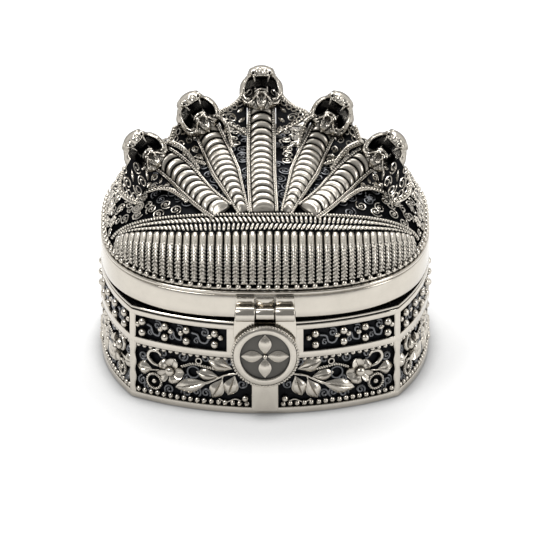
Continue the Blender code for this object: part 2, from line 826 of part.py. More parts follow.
def make_dome(necks, material):
    """The domed shell, open underneath, with its raised motifs."""
    work = bmesh.new()
    top = work.verts.new((0.0, 0.0, DOME_FOOT + DOME_RISE))
    rows = []
    for row in range(DOME_ROWS):
        lean = math.pi / 2 * (row + 1) / DOME_ROWS
        loop = []
        for i in range(LID_STEPS):
            x, y = lid_point(DOME_HALF_X, DOME_HALF_Y, 2 * math.pi * i / LID_STEPS)
            x, y = x * math.sin(lean), y * math.sin(lean)
            rise = (DOME_RISE + DOME_BACK_LIFT * y / DOME_HALF_Y) * math.cos(lean)
            loop.append(work.verts.new((x, y, DOME_FOOT + rise)))
        rows.append(loop)
    for i in range(LID_STEPS):
        j = (i + 1) % LID_STEPS
        work.faces.new((top, rows[0][i], rows[0][j]))
        for high, low in zip(rows, rows[1:]):
            work.faces.new((high[i], low[i], low[j], high[j]))
    bmesh.ops.recalc_face_normals(work, faces=work.faces)
    mesh = bpy.data.meshes.new("lid_dome")
    work.to_mesh(mesh)
    work.free()
    dome = add_object("lid_dome", mesh, material)
    wall = dome.modifiers.new("Wall", "SOLIDIFY")
    wall.thickness = DOME_THICKNESS
    wall.offset = -1.0
    union_all(dome, make_motifs(necks))
    return smooth(dome)


def make_band(material):
    loops = [lid_outline(0.0, z) for z in (BAND_LOW, BAND_TOP)]
    return shell("lid_band", loops, BAND_THICKNESS, material)


def make_deck(material):
    """The flat ring inside the band that carries the dome."""
    outer = lid_outline(BAND_THICKNESS + GAP, BAND_TOP)
    inner = lid_outline(DECK_REACH, BAND_TOP)
    return shell("lid_deck", [outer, inner], DECK_THICKNESS, material)


def make_bead_wire(material):
    """The wire that carries the row of beads round the dome's foot."""
    middle = DOME_INSET - GAP - BEAD_WIRE
    height = BAND_TOP + GAP
    loops = []
    for inset, z in ((-1, 0), (1, 0), (1, 2), (-1, 2)):
        loops.append(lid_outline(middle + inset * BEAD_WIRE, height + z * BEAD_WIRE))
    mesh = mesh_of_loops("bead_wire", loops, ring=True)
    return smooth(add_object("bead_wire", mesh, material))


def dome_front(x, z):
    """y of the dome's front face over x at this height."""
    y = -DOME_HALF_Y
    for _ in range(4):
        rise = DOME_RISE + DOME_BACK_LIFT * y / DOME_HALF_Y
        share = math.sqrt(1 - ((z - DOME_FOOT) / rise) ** 2)
        left = max(0.0, share**LID_ROUNDNESS - abs(x / DOME_HALF_X) ** LID_ROUNDNESS)
        y = -DOME_HALF_Y * left ** (1 / LID_ROUNDNESS)
    return y


def rib_top_y(x):
    """Plan line of the ribs' upper ends."""
    return RIB_TOP_MIDDLE + RIB_TOP_SWEEP * abs(x / BOLSTER_END) ** RIB_TOP_POWER


def border_y(x):
    """Plan line of the rope border."""
    return BORDER_MIDDLE + BORDER_SWEEP * abs(x / BORDER_END) ** BORDER_POWER


def front_columns(count, end=BOLSTER_END):
    """x of places across the bolster, evenly spaced along the dome's foot."""
    fine = 400
    xs = [end * (2 * i / fine - 1) for i in range(fine + 1)]
    run = [0.0]
    for a, b in zip(xs, xs[1:]):
        run.append(run[-1] + math.hypot(b - a, dome_front(b, DOME_FOOT) - dome_front(a, DOME_FOOT)))
    made, k = [], 0
    for i in range(count):
        want = run[-1] * i / (count - 1)
        while k < fine - 1 and run[k + 1] < want:
            k += 1
        share = (want - run[k]) / (run[k + 1] - run[k])
        made.append(xs[k] + (xs[k + 1] - xs[k]) * share)
    return made


def rib_point(x, share, lift):
    """A point of a rib: share runs from its foot (0) to its upper end (1)."""
    low = DOME_FOOT + RIB_FOOT
    high = dome_height(x, rib_top_y(x))
    return on_dome(x, dome_front(x, low + (high - low) * share), lift)


def make_bolster(material):
    """The ribbed roll along the lid's front: upright ribs side by side."""
    loops = []
    for i, x in enumerate(front_columns(2 * RIB_COUNT + 1)):
        outer, inner = [], []
        for row in range(RIB_ROWS + 1):
            share = row / RIB_ROWS
            swell = 0.55 + 0.45 * math.sin(math.pi * (0.15 + 0.7 * share))
            lift = RIB_LIFT * swell if i % 2 else RIB_LIFT * swell - RIB_GROOVE * swell
            outer.append(rib_point(x, share, lift + GAP))
            inner.append(rib_point(x, share, GAP))
        loops.append(outer + inner[::-1])
    return loft("rib_bolster", loops, material)


def make_braid(material):
    """The braided band between the ribs and the rope border."""
    loops = []
    for x in front_columns(BRAID_STEPS + 1, BRAID_END):
        low = rib_top_y(x) + 0.7 * BRAID_MARGIN
        high = max(low + 0.3 * BRAID_MARGIN, border_y(x) - BRAID_MARGIN)
        section = ((low, GAP), (high, GAP), (high, 0.8), ((low + high) / 2, 1.0), (low, 1.0))
        loops.append([on_dome(x, y, lift if lift == GAP else lift * BRAID_LIFT) for y, lift in section])
    return loft("braid_band", loops, material)


def wire(name, points, radius, material, resolution=2):
    """A round wire along the points, closed at its ends."""
    data = bpy.data.curves.new(name, "CURVE")
    data.dimensions = "3D"
    data.bevel_depth = radius
    data.bevel_resolution = resolution
    data.use_fill_caps = True
    spline = data.splines.new("POLY")
    spline.points.add(len(points) - 1)
    for point, place in zip(spline.points, points):
        point.co = (*place, 1.0)
    data.materials.append(material)
    obj = bpy.data.objects.new(name, data)
    PARTS.objects.link(obj)
    return obj


def make_rope_border(material):
    xs = front_columns(ROPE_STEPS + 1, BORDER_END)
    points = [on_dome(x, border_y(x), ROPE_RADIUS + GAP) for x in xs]
    return wire("rope_border", points, ROPE_RADIUS, material, resolution=1)


def make_lid(necks, silver, dark):
    make_band(silver)
    make_deck(silver)
    make_dome(necks, dark)
    make_bead_wire(silver)
    make_bolster(silver)
    make_braid(silver)
    make_rope_border(silver)


# Cobras


def clear_of_dome(point, gap):
    """The point, raised where it would come closer to the dome than the gap."""
    if dome_radius(point.x, point.y) < 0.999:
        lowest = dome_height(point.x, point.y) + gap / max(0.3, dome_normal(point.x, point.y).z)
        point.z = max(point.z, lowest)
    return point


def smooth_line(points, steps=48):
    """Evenly spaced points on a smooth curve through the given ones."""
    ends = [points[0] * 2 - points[1]] + points + [points[-1] * 2 - points[-2]]
    fine = []
    for a, b, c, d in zip(ends, ends[1:], ends[2:], ends[3:]):
        for i in range(12):
            t = i / 12
            bend = (2 * a - 5 * b + 4 * c - d) * t**2 + (3 * b - a - 3 * c + d) * t**3
            fine.append(0.5 * (2 * b + (c - a) * t + bend))
    fine.append(points[-1])
    run = [0.0]
    for a, b in zip(fine, fine[1:]):
        run.append(run[-1] + (b - a).length)
    made, k = [], 0
    for i in range(steps + 1):
        want = run[-1] * i / steps
        while k < len(fine) - 2 and run[k + 1] < want:
            k += 1
        made.append(fine[k].lerp(fine[k + 1], (want - run[k]) / (run[k + 1] - run[k])))
    return made, run[-1]


def fitted(place, sign):
    """A drawn place fitted to the lid; its height is None where it lies on the dome."""
    x, y = place[0] * BODY_WIDTH / DRAWN_WIDTH * sign, place[1] * BODY_DEPTH / DRAWN_DEPTH
    return x, y, DOME_FOOT + place[2] * DOME_RISE / DRAWN_RISE if len(place) > 2 else None


class Neck:
    """A cobra's neck line, with the directions that its scutes and its hood follow."""

    def __init__(self, cobra, sign):
        points = []
        for place in cobra["path"]:
            x, y, z = fitted(place, sign)
            points.append(on_dome(x, y, NECK_SEAT) if z is None else Vector((x, y, z)))
        self.line, self.length = smooth_line(points)
        self.lean = math.radians(cobra["lean"]) * sign
        self.foot_width = cobra["foot_width"]
        self.wings = [
            (way * sign, cup, outline)
            for way, cup, outline in zip((1, -1), cobra["cups"], cobra["wings"])
        ]

    def at(self, share):
        last = len(self.line) - 1
        place = share * last
        k = min(last - 1, max(0, math.floor(place)))
        return self.line[k] + (self.line[k + 1] - self.line[k]) * (place - k)

    def frame(self, share):
        """Origin, way along, way across and way out of the belly."""
        origin = self.at(share)
        along = (self.at(share + 0.04) - self.at(share - 0.04)).normalized()
        gaze = Vector((math.sin(self.lean), -math.cos(self.lean) * 0.72, 0.85)).normalized()
        rise = min(1.0, max(0.0, (share - 0.35) / 0.45))
        out = dome_normal(origin.x, origin.y).lerp(gaze, rise * rise * (3 - 2 * rise))
        out = (out - along * out.dot(along)).normalized()
        return origin, along, along.cross(out).normalized(), out

    def half_width(self, share):
        grow = min(1.0, max(0.0, share) / 0.42)
        taper = 1 - 0.14 * max(0.0, share - 0.5) - 5.0 * max(0.0, share - 0.9)
        return NECK_HALF_WIDTH * (self.foot_width + (1 - self.foot_width) * grow) * taper


def make_foot_cutter():
    """A block along the rope border that trims the feet of the necks."""
    low, high = DOME_FOOT + FOOT_CUT_DEPTH / 2, DOME_FOOT + DOME_RISE + FOOT_CUT_DEPTH / 2
    loops = []
    for x in front_columns(25, BORDER_END):
        edge = border_y(x) + ROPE_RADIUS + 2 * GAP
        back = edge - FOOT_CUT_DEPTH
        loops.append([(x, back, low), (x, edge, low), (x, edge, high), (x, back, high)])
    return loft("foot_cutter", loops, helper=True)


def make_neck(name, neck, cutters, material):
    """A neck with overlapping belly scutes, each arched towards the head."""
    scutes = round(neck.length / SCUTE_PITCH)
    profile = list(NECK_SECTION) + [(-x, h) for x, h in reversed(NECK_SECTION[:-1])]
    loops = []
    for i in range(scutes):
        for edge, drop in ((0.0, 0.0), (0.93, 1.0)):
            share = (i + edge) / scutes
            origin, along, across, out = neck.frame(share)
            half = neck.half_width(share)
            loop = []
            for x, h in profile:
                belly = h > 0.38
                arch = SCUTE_ARCH * max(0.0, 1 - (x / 0.8) ** 2) if belly else 0.0
                arch *= min(1.0, (1 - share) * scutes / 2)
                rise = h * NECK_RISE * (0.55 + 0.45 * half / NECK_HALF_WIDTH)
                rise -= SCUTE_STEP * drop if belly else 0.0
                point = origin + across * x * half + out * rise + along * arch
                loop.append(clear_of_dome(point, NECK_SEAT + 0.6 * rise))
            loops.append(loop)
    made = loft(name, loops, material)
    for cutter in cutters:
        boolean(made, "DIFFERENCE", cutter)
    return made


def wing_rows(neck, way, cup, outline):
    """Rows of points of one half of a hood, each from the neck's side out to the rim."""
    rows = []
    for share, reach in outline:
        origin, _, across, out = neck.frame(share)
        start = neck.half_width(share) + WING_SEAT
        room = max(HOOD_THICKNESS / 2, reach * BODY_WIDTH / DRAWN_WIDTH - start)
        row = []
        for i in range(HOOD_COLUMNS):
            beyond = room * i / (HOOD_COLUMNS - 1)
            point = origin + across * way * (start + beyond) + out * (WING_RISE + beyond * cup)
            row.append(clear_of_dome(point, GAP + 0.6 * HOOD_THICKNESS))
        rows.append(row)
    return rows


def make_wing(name, rows, cutters, material):
    """One half of a hood: a cupped sheet from the neck's side out to its rim."""
    wing = shell(name, rows, HOOD_THICKNESS, material, closed_loops=False, offset=0.0)
    for cutter in cutters:
        boolean(wing, "DIFFERENCE", cutter)
    return wing


def head_blank(name, grow):
    """The head's outer form, each radius grown by the same amount, made one skin by Remesh."""
    work = bmesh.new()
    for centre, radii in HEAD_SOLIDS:
        place = Matrix.Translation(Vector(centre) * HEAD_WIDTH / HEAD_DRAWN)
        size = [r * HEAD_WIDTH / HEAD_DRAWN + grow for r in radii]
        made = bmesh.ops.create_uvsphere(work, u_segments=16, v_segments=10, radius=1.0)
        bmesh.ops.transform(work, matrix=place @ Matrix.Diagonal((*size, 1.0)), verts=made["verts"])
    mesh = bpy.data.meshes.new(name)
    work.to_mesh(mesh)
    work.free()
    return reskin(add_object(name, mesh, helper=True))


def reskin(obj):
    """One even skin over everything in the mesh."""
    skin = obj.modifiers.new("Skin", "REMESH")
    skin.mode = "VOXEL"
    skin.voxel_size = HEAD_VOXEL
    return obj


def reduce_to(obj, triangles):
    """Adds a Decimate that leaves about this many triangles."""
    bpy.context.view_layer.update()
    graph = bpy.context.evaluated_depsgraph_get()
    now = sum(len(p.vertices) - 2 for p in obj.evaluated_get(graph).data.polygons)
    fewer = obj.modifiers.new("Fewer", "DECIMATE")
    fewer.ratio = min(1.0, triangles / now)
    return obj


def head_mesh():
    """The open-mouthed head that all five cobras share."""
    blank = head_blank("head_blank", 0.0)
    for centre, radii in HEAD_MOUTH:
        place = Matrix.Translation(Vector(centre) * HEAD_WIDTH / HEAD_DRAWN)
        size = [r * HEAD_WIDTH / HEAD_DRAWN for r in radii]
        mouth = ellipsoid("mouth_cutter", place, size, helper=True)
        boolean(blank, "DIFFERENCE", mouth)
    reskin(blank)
    reduce_to(blank, HEAD_TRIANGLES)
    mesh = frozen_mesh(blank, "cobra_head")
    mesh.shade_smooth()
    return mesh


def seat_mesh():
    """A plain hull round the head, with the soldering gap, which cuts neck and hood."""
    skin = frozen_mesh(head_blank("seat_blank", GAP), "seat_skin")
    work = bmesh.new()
    for vert in skin.vertices:
        work.verts.new(vert.co)
    found = bmesh.ops.convex_hull(work, input=work.verts)
    inside = {part for part in found["geom_interior"] if isinstance(part, bmesh.types.BMVert)}
    bmesh.ops.delete(work, geom=list(inside), context="VERTS")
    bmesh.ops.dissolve_limit(
        work, angle_limit=math.radians(9), verts=work.verts, edges=work.edges
    )
    mesh = bpy.data.meshes.new("head_seat")
    work.to_mesh(mesh)
    work.free()
    bpy.data.meshes.remove(skin)
    return mesh


def head_place(cobra, sign):
    """Matrix of a head: X across, Y the way it gapes, Z up."""
    turn = math.radians(cobra["turn"]) * sign
    roll = math.radians(cobra["roll"]) * sign
    level = math.cos(GAZE_ELEVATION)
    gape = Vector((math.sin(turn) * level, -math.cos(turn) * level, math.sin(GAZE_ELEVATION)))
    side = gape.cross(Vector((0.0, 0.0, 1.0))).normalized()
    up = side.cross(gape).normalized()
    place = Matrix((side, gape, up)).transposed().to_4x4() @ Matrix.Rotation(-roll, 4, "Y")
    place.translation = fitted(cobra["head"], sign)
    return place


def make_cobras(necks, material):
    head, seat = head_mesh(), seat_mesh()
    foot_cutter = make_foot_cutter()
    for name, (cobra, sign) in COBRAS.items():
        place = head_place(cobra, sign)
        made = add_object(name + "_cobra_head", head, material)
        made.matrix_world = place
        cutter = add_object(name + "_head_seat", seat, helper=True)
        cutter.matrix_world = place
        neck = necks[name]
        make_neck(name + "_cobra_neck", neck, (cutter, foot_cutter), material)
        labels = ("right", "left") if name == "centre" else ("outer", "inner")
        for label, wing in zip(labels, neck.wings):
            make_wing(name + "_hood_" + label, wing_rows(neck, *wing), (cutter,), material)


# Back hinge


def hinge_spans(owner):
    """x spans of the knuckles of the box (even places) or of the lid (odd places)."""
    pitch = 2 * HINGE_HALF_WIDTH / HINGE_KNUCKLES
    spans = []
    for i in range(HINGE_KNUCKLES):
        if i % 2 == (0 if owner == "body" else 1):
            low = -HINGE_HALF_WIDTH + pitch * i
            spans.append((low + GAP / 2, low + pitch - GAP / 2))
    return spans


def wall_edge_y(x):
    """The back wall's outer face, in plan."""
    centre, radius, _ = wall_arc("back")
    return centre.y + math.sqrt(radius**2 - x**2)


def lid_edge_y(x):
    """The lid band's back face, in plan."""
    return LID_HALF_Y * (1 - abs(x / LID_HALF_X) ** LID_ROUNDNESS) ** (1 / LID_ROUNDNESS)


def edge_block(name, low_x, high_x, near, far, low, high, steps=2, **options):
    """A block between two plan lines: near and far give y over x."""
    loops = []
    for i in range(steps + 1):
        x = low_x + (high_x - low_x) * i / steps
        loops.append([(x, near(x), low), (x, far(x), low), (x, far(x), high), (x, near(x), high)])
    return loft(name, loops, **options)


def make_hinge_leaf(owner, material):
    """A curved leaf on the back wall or the band, with its knuckles round the pin."""
    edge = wall_edge_y if owner == "body" else lid_edge_y
    way = -1 if owner == "body" else 1
    name = owner + "_hinge_leaf"
    low, high = FLANGE_TOP - GAP - BODY_LEAF_HEIGHT, FLANGE_TOP - GAP
    if owner == "lid":
        low, high = BAND_LOW + GAP, BAND_LOW + GAP + LID_LEAF_HEIGHT
    plate = edge_block(
        name, -HINGE_HALF_WIDTH, HINGE_HALF_WIDTH, lambda x: edge(x) + GAP,
        lambda x: edge(x) + GAP + LEAF_THICKNESS, low, high, steps=6, material=material,
    )
    web_low, web_high = sorted((HINGE_Z + way * WEB_LOW, HINGE_Z + way * WEB_HIGH))
    for low_x, high_x in hinge_spans(owner):
        knuckle = cylinder_x(name + "_knuckle", KNUCKLE_RADIUS, low_x, high_x, HINGE_Y, HINGE_Z, helper=True)
        web = edge_block(
            name + "_web", low_x + SHY, high_x - SHY, lambda x: edge(x) + GAP + LEAF_THICKNESS / 2,
            lambda x: HINGE_Y + SHY, max(web_low, low + GAP), min(web_high, high - GAP), helper=True,
        )
        union_all(plate, [web, knuckle])
    bore = cylinder_x(
        name + "_bore", HINGE_PIN_RADIUS + GAP, -2 * HINGE_HALF_WIDTH, 2 * HINGE_HALF_WIDTH,
        HINGE_Y, HINGE_Z, helper=True,
    )
    boolean(plate, "DIFFERENCE", bore)
    return plate


def make_hinge_pin(material):
    cylinder_x(
        "hinge_pin", HINGE_PIN_RADIUS, -HINGE_HALF_WIDTH - GAP, HINGE_HALF_WIDTH + GAP,
        HINGE_Y, HINGE_Z, material=material,
    )


# Front latch


def make_latch_lug(material):
    """The lid's middle knuckle on its leaf, whose two straps lie over the hasp's knuckles."""
    band_face = -(BODY_DEPTH / 2 + GAP)
    lug = box(
        "latch_lug", (-LATCH_LUG_HALF_WIDTH, LATCH_Y + 2 * SHY, LATCH_Z - 2 * SHY),
        (LATCH_LUG_HALF_WIDTH, band_face, BAND_TOP - GAP), material=material,
    )
    trim = box(
        "lug_trim", (-2 * LATCH_LUG_HALF_WIDTH, 2 * LATCH_Y, LATCH_Z + LATCH_LUG_RADIUS - GAP),
        (2 * LATCH_LUG_HALF_WIDTH, band_face - LEAF_THICKNESS, 2 * BAND_TOP), helper=True,
    )
    knuckle = cylinder_x(
        "lug_knuckle", LATCH_LUG_RADIUS, SHY - LATCH_LUG_HALF_WIDTH, LATCH_LUG_HALF_WIDTH - SHY,
        LATCH_Y, LATCH_Z, helper=True,
    )
    bore = cylinder_x(
        "lug_bore", LATCH_PIN_RADIUS + GAP, -2 * LATCH_HALF_WIDTH, 2 * LATCH_HALF_WIDTH,
        LATCH_Y, LATCH_Z, helper=True,
    )
    boolean(lug, "DIFFERENCE", trim)
    boolean(lug, "UNION", knuckle)
    for sign in (-1, 1):
        low, high = sorted((sign * (LATCH_LUG_HALF_WIDTH - 2 * SHY), sign * (LATCH_HALF_WIDTH - SHY)))
        strap = box(
            "lug_strap", (low, band_face - STRAP_THICKNESS, LATCH_Z + LATCH_KNUCKLE_RADIUS + GAP),
            (high, band_face - SHY, BAND_TOP - 2 * GAP), helper=True,
        )
        boolean(lug, "UNION", strap)
    boolean(lug, "DIFFERENCE", bore)
    return lug


def upright_disc(name, radius, depth, y_front, z, segments=32, **options):
    """A disc that faces the front; its front face lies at y_front."""
    place = Matrix.Translation((0.0, y_front + depth / 2, z)) @ Matrix.Rotation(math.pi / 2, 4, "X")

    def build(work):
        bmesh.ops.create_cone(
            work, cap_ends=True, segments=segments, radius1=radius, radius2=radius, depth=depth
        )

    return primitive(name, build, place, **options)


def hasp_outline():
    """Right half of the hasp plate, from its top edge down to the tab's foot: (x, z)."""
    skirt = MEDALLION_Z + MEDALLION_RADIUS * 0.62
    tab = TAB_WIDTH / 2
    return [
        (LATCH_HALF_WIDTH, LATCH_Z), (HASP_SKIRT_HALF_WIDTH, skirt + 2 * TAB_CORNER),
        (HASP_SKIRT_HALF_WIDTH, skirt), (tab + SHOULDER_REACH, MEDALLION_Z - SHOULDER_DROP),
        (tab, MEDALLION_Z - MEDALLION_RADIUS * 0.8), (tab, TAB_FOOT + TAB_CORNER),
        (tab - TAB_CORNER, TAB_FOOT),
    ]


def make_hasp(material):
    """The plate that hangs from the latch pin, with its two outer knuckles and its tab."""
    half = hasp_outline()
    outline = half + [(-x, z) for x, z in reversed(half)]
    loops = [[(x, y, z) for x, z in outline] for y in (HASP_BACK, HASP_BACK - HASP_THICKNESS)]
    hasp = loft("hasp_plate", loops, material)
    inner = LATCH_LUG_HALF_WIDTH + GAP
    for sign in (-1, 1):
        low, high = sorted((sign * inner, sign * LATCH_HALF_WIDTH))
        knuckle = cylinder_x("hasp_knuckle", LATCH_KNUCKLE_RADIUS, low, high, LATCH_Y, LATCH_Z, helper=True)
        boolean(hasp, "UNION", knuckle)
    room = LATCH_LUG_RADIUS + GAP
    notch = box(
        "hasp_notch", (-inner, LATCH_Y - 2 * room, LATCH_Z - room),
        (inner, LATCH_Y + 2 * room, LATCH_Z + 2 * room), helper=True,
    )
    bore = cylinder_x(
        "hasp_bore", LATCH_PIN_RADIUS + GAP, -2 * LATCH_HALF_WIDTH, 2 * LATCH_HALF_WIDTH,
        LATCH_Y, LATCH_Z, helper=True,
    )
    boolean(hasp, "DIFFERENCE", notch)
    boolean(hasp, "DIFFERENCE", bore)
    return hasp


def make_medallion(material):
    """The round boss on the hasp: a raised rim round a sunk field with a four-petal flower."""
    front = HASP_BACK - HASP_THICKNESS - GAP - MEDALLION_THICKNESS
    ring = upright_disc(
        "medallion_ring", MEDALLION_RADIUS, MEDALLION_THICKNESS, front, MEDALLION_Z, material=material
    )
    field = upright_disc(
        "medallion_field", MEDALLION_RADIUS - MEDALLION_RIM, MEDALLION_THICKNESS,
        front - MEDALLION_THICKNESS * 0.55, MEDALLION_Z, helper=True,
    )
    boolean(ring, "DIFFERENCE", field)
    floor = front + MEDALLION_THICKNESS * 0.45
    bead_depth = 2 * PETAL_HEIGHT
    flower = upright_disc(
        "medallion_flower", FLOWER_BEAD, bead_depth, floor - GAP - bead_depth, MEDALLION_Z, 12,
        material=material,
    )
    for i in range(4):
        turn = math.pi / 2 * i
        reach = PETAL_LENGTH / 2 + 2 * SHY
        x, z = math.cos(turn) * reach, MEDALLION_Z + math.sin(turn) * reach
        place = Matrix.Translation((x, floor - GAP - PETAL_HEIGHT, z))
        place = place @ Matrix.Rotation(-turn, 4, "Y") @ Matrix.Rotation(math.pi / 2, 4, "Y")
        size = (PETAL_WIDTH / 2, PETAL_HEIGHT, PETAL_LENGTH / 2)
        boolean(flower, "UNION", ellipsoid("petal", place, size, 6, 6, helper=True))


def make_latch_pin(material):
    cylinder_x(
        "latch_pin", LATCH_PIN_RADIUS, -LATCH_HALF_WIDTH - GAP, LATCH_HALF_WIDTH + GAP,
        LATCH_Y, LATCH_Z, material=material,
    )


def make_stud(material):
    """The snap stud on the box's front, behind the hasp."""
    low, high = window_heights("upper")
    wall = -BODY_DEPTH / 2
    depth = wall - HASP_BACK - 2 * GAP
    upright_disc(
        "keeper_stud", STUD_RADIUS, depth, wall - GAP - depth, (low + high) / 2, 12, material=material
    )


def build_lid():
    make_lid(necks, silver, dark)
    make_cobras(necks, silver)
    make_hinge_leaf("lid", silver)
    make_latch_lug(silver)
    make_latch_pin(silver)
    on_axis("hasp_axis", (0.0, LATCH_Y, LATCH_Z), build_hasp)


def build_hasp():
    make_hasp(silver)
    make_medallion(silver)


clear_scene()
PARTS = new_collection("cobra_keepsake_box")
HELPERS = new_collection("helpers")
HELPERS.hide_render = True
silver = new_material("silver", SILVER, 0.25, 1.0)
dark = new_material("oxidised_silver", DARK_SILVER, 0.55, 1.0)
necks = {name: Neck(cobra, sign) for name, (cobra, sign) in COBRAS.items()}
make_body(silver, dark)
make_stud(silver)
make_hinge_leaf("body", silver)
make_hinge_pin(silver)
on_axis("lid_axis", (0.0, HINGE_Y, HINGE_Z), build_lid)
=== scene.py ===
"""Looks of a silver keepsake box whose domed lid carries five rearing cobras.

Shapes are worked out in millimetres, with the front towards -Y, and made in metres.
"""

import math

import bmesh
import bpy
import numpy as np
from mathutils import Matrix, Vector


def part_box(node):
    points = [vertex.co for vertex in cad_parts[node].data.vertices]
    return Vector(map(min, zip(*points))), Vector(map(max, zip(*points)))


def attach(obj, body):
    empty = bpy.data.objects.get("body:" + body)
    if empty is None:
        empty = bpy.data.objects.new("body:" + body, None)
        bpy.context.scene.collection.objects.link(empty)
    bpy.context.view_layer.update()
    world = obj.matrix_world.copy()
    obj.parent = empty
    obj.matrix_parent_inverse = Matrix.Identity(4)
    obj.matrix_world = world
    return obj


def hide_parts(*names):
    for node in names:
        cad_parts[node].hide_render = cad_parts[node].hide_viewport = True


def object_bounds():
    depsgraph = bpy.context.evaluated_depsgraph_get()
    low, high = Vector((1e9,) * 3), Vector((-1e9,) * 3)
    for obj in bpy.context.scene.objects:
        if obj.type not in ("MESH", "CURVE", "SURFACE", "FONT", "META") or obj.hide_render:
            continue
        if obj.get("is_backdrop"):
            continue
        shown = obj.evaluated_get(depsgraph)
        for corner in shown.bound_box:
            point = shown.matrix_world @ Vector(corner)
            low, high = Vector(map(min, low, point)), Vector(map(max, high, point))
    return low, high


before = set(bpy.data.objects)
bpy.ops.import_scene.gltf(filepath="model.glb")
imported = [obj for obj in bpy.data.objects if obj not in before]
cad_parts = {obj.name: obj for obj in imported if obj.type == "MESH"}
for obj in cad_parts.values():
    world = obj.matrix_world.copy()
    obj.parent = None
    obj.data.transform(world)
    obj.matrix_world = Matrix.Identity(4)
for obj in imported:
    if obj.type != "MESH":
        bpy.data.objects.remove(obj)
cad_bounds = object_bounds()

MM = 0.001

# Sizes shared with the solids
HALF_WIDTH = 45.0
HALF_DEPTH = 43.7
CORNER_X = 36.3
CORNER_Y = 33.0
FRAME_HEIGHT = 26.6
FRAME_THICKNESS = 1.6
PANEL_THICKNESS = 0.4
BOTTOM_RAIL = 1.9
MIDDLE_RAIL_LOW = 16.5
MIDDLE_RAIL_HIGH = 18.5
TOP_RAIL_LOW = 25.0
POST_WIDTH = 1.2
SOLID_HALF_WIDTHS = {"front": 10.4, "back": 15.0}
FLANGE_LOW = 26.9
FLANGE_TOP = 27.5
FLANGE_REACH = 2.7
BAND_LOW = 28.9
BAND_TOP = 36.7
GAP = 0.3
LID_ROUNDNESS = 2.6
DOME_FOOT = 37.0
DOME_INSET = 1.8
DOME_HALF_X = HALF_WIDTH - DOME_INSET
DOME_HALF_Y = HALF_DEPTH - DOME_INSET
DOME_RISE = 20.0
DOME_BACK_LIFT = 1.5
DOME_THICKNESS = 1.0
DECK_REACH = 3.6
RIM_BEAD_PITCH = 2.62
RIM_BEAD_RADIUS = 0.8
BACKING = FRAME_THICKNESS - PANEL_THICKNESS  # inset of the sheets behind the openings

# Wirework of the dome and the hoods
RING_PITCH = 1.7
SCROLL_PITCH = 3.1
MOTIF_PITCH = 7.5
MOTIF_RADIUS = 2.4
CURL_PITCH = 3.5
WIRE_RADIUS = 0.18

# Ribs, braid and ropes
RIB_COUNT = 42
LINK_PITCH = 0.92
RIB_FOOT = 1.5
RIB_LIFT = 1.6
RIB_RADIUS = 1.02
BOLSTER_END = 39.6
BORDER_END = 40.6
BRAID_END = 38.8
ROPE_RADIUS = 0.6
ROPE_PITCH = 0.85
FOOT_ROPE_RADIUS = 0.5
BRAID_COLUMNS = 144
CHAIN_SHARE = 0.74

# Cobras
NECK_HALF_WIDTH = 3.8
NECK_RISE = 2.5
NECK_SEAT = 0.45
SCUTE_PITCH = 2.75
SCUTE_ARCH = 1.15
WING_SEAT = 0.45
CHIN_SHARE = 0.84

# Hinge and latch
HINGE_Y = 47.1
HINGE_Z = 28.2
HINGE_HALF_WIDTH = 14.0
HINGE_KNUCKLES = 5
KNUCKLE_RADIUS = 2.0
LEAF_THICKNESS = 0.8
LATCH_Y = -46.2
LATCH_Z = 31.5
LATCH_RADIUS = 2.2
LUG_RADIUS = 1.7
LATCH_HALF_WIDTH = 8.0
LUG_HALF_WIDTH = 2.5
KNUCKLE_START = LUG_HALF_WIDTH + GAP
SKIRT_REACH = 8.6
PIN_RADIUS = 0.7
MEDALLION_Z = LATCH_Z - 12.7
PLATE_FRONT = LATCH_Y + LATCH_RADIUS - 0.7 - 0.8
TAB_HALF_WIDTH = 3.6
TAB_FOOT = 1.6

CENTRE_COBRA = {
    "path": (
        (-0.4, -26.2), (-0.8, -16.8), (-1.0, -5.0), (-1.0, 5.0, 59.8), (-1.0, 10.6, 64.5), (-1.0, 13.2, 70.2),
    ),
    "foot_width": 1.0,
    "lean": 0.0,
    "cups": (0.55, 0.55),
    "wings": (
        (
            (0.715, 4.5), (0.735, 6.2), (0.75, 8.6), (0.775, 11.2), (0.815, 12.6), (0.86, 11.8), (0.9, 9.4),
            (0.95, 6.7), (0.99, 5.2),
        ),
        (
            (0.715, 4.5), (0.735, 6.0), (0.75, 8.2), (0.775, 10.6), (0.815, 12.0), (0.86, 11.2), (0.9, 8.9),
            (0.95, 6.3), (0.99, 5.1),
        ),
    ),
    "head": (-1.0, 14.0, 71.2),
    "roll": 0.0,
    "turn": 0.0,
}
INNER_COBRA = {
    "path": (
        (6.0, -26.2), (8.2, -19.1), (10.5, -10.3), (12.9, 0.3, 57.8), (15.4, 5.2, 61.5), (17.7, 7.3, 65.8),
    ),
    "foot_width": 0.42,
    "lean": 26.0,
    "cups": (0.55, 1.5),
    "wings": (
        ((0.60, 4.3), (0.66, 6.2), (0.72, 8.8), (0.79, 10.8), (0.865, 11.5), (0.93, 10.0), (1.0, 7.5)),
        ((0.66, 4.5), (0.71, 5.0), (0.76, 5.6), (0.81, 6.0), (0.86, 6.0), (0.90, 5.6), (0.94, 5.0)),
    ),
    "head": (19.0, 7.5, 66.6),
    "roll": 28.0,
    "turn": -8.0,
}
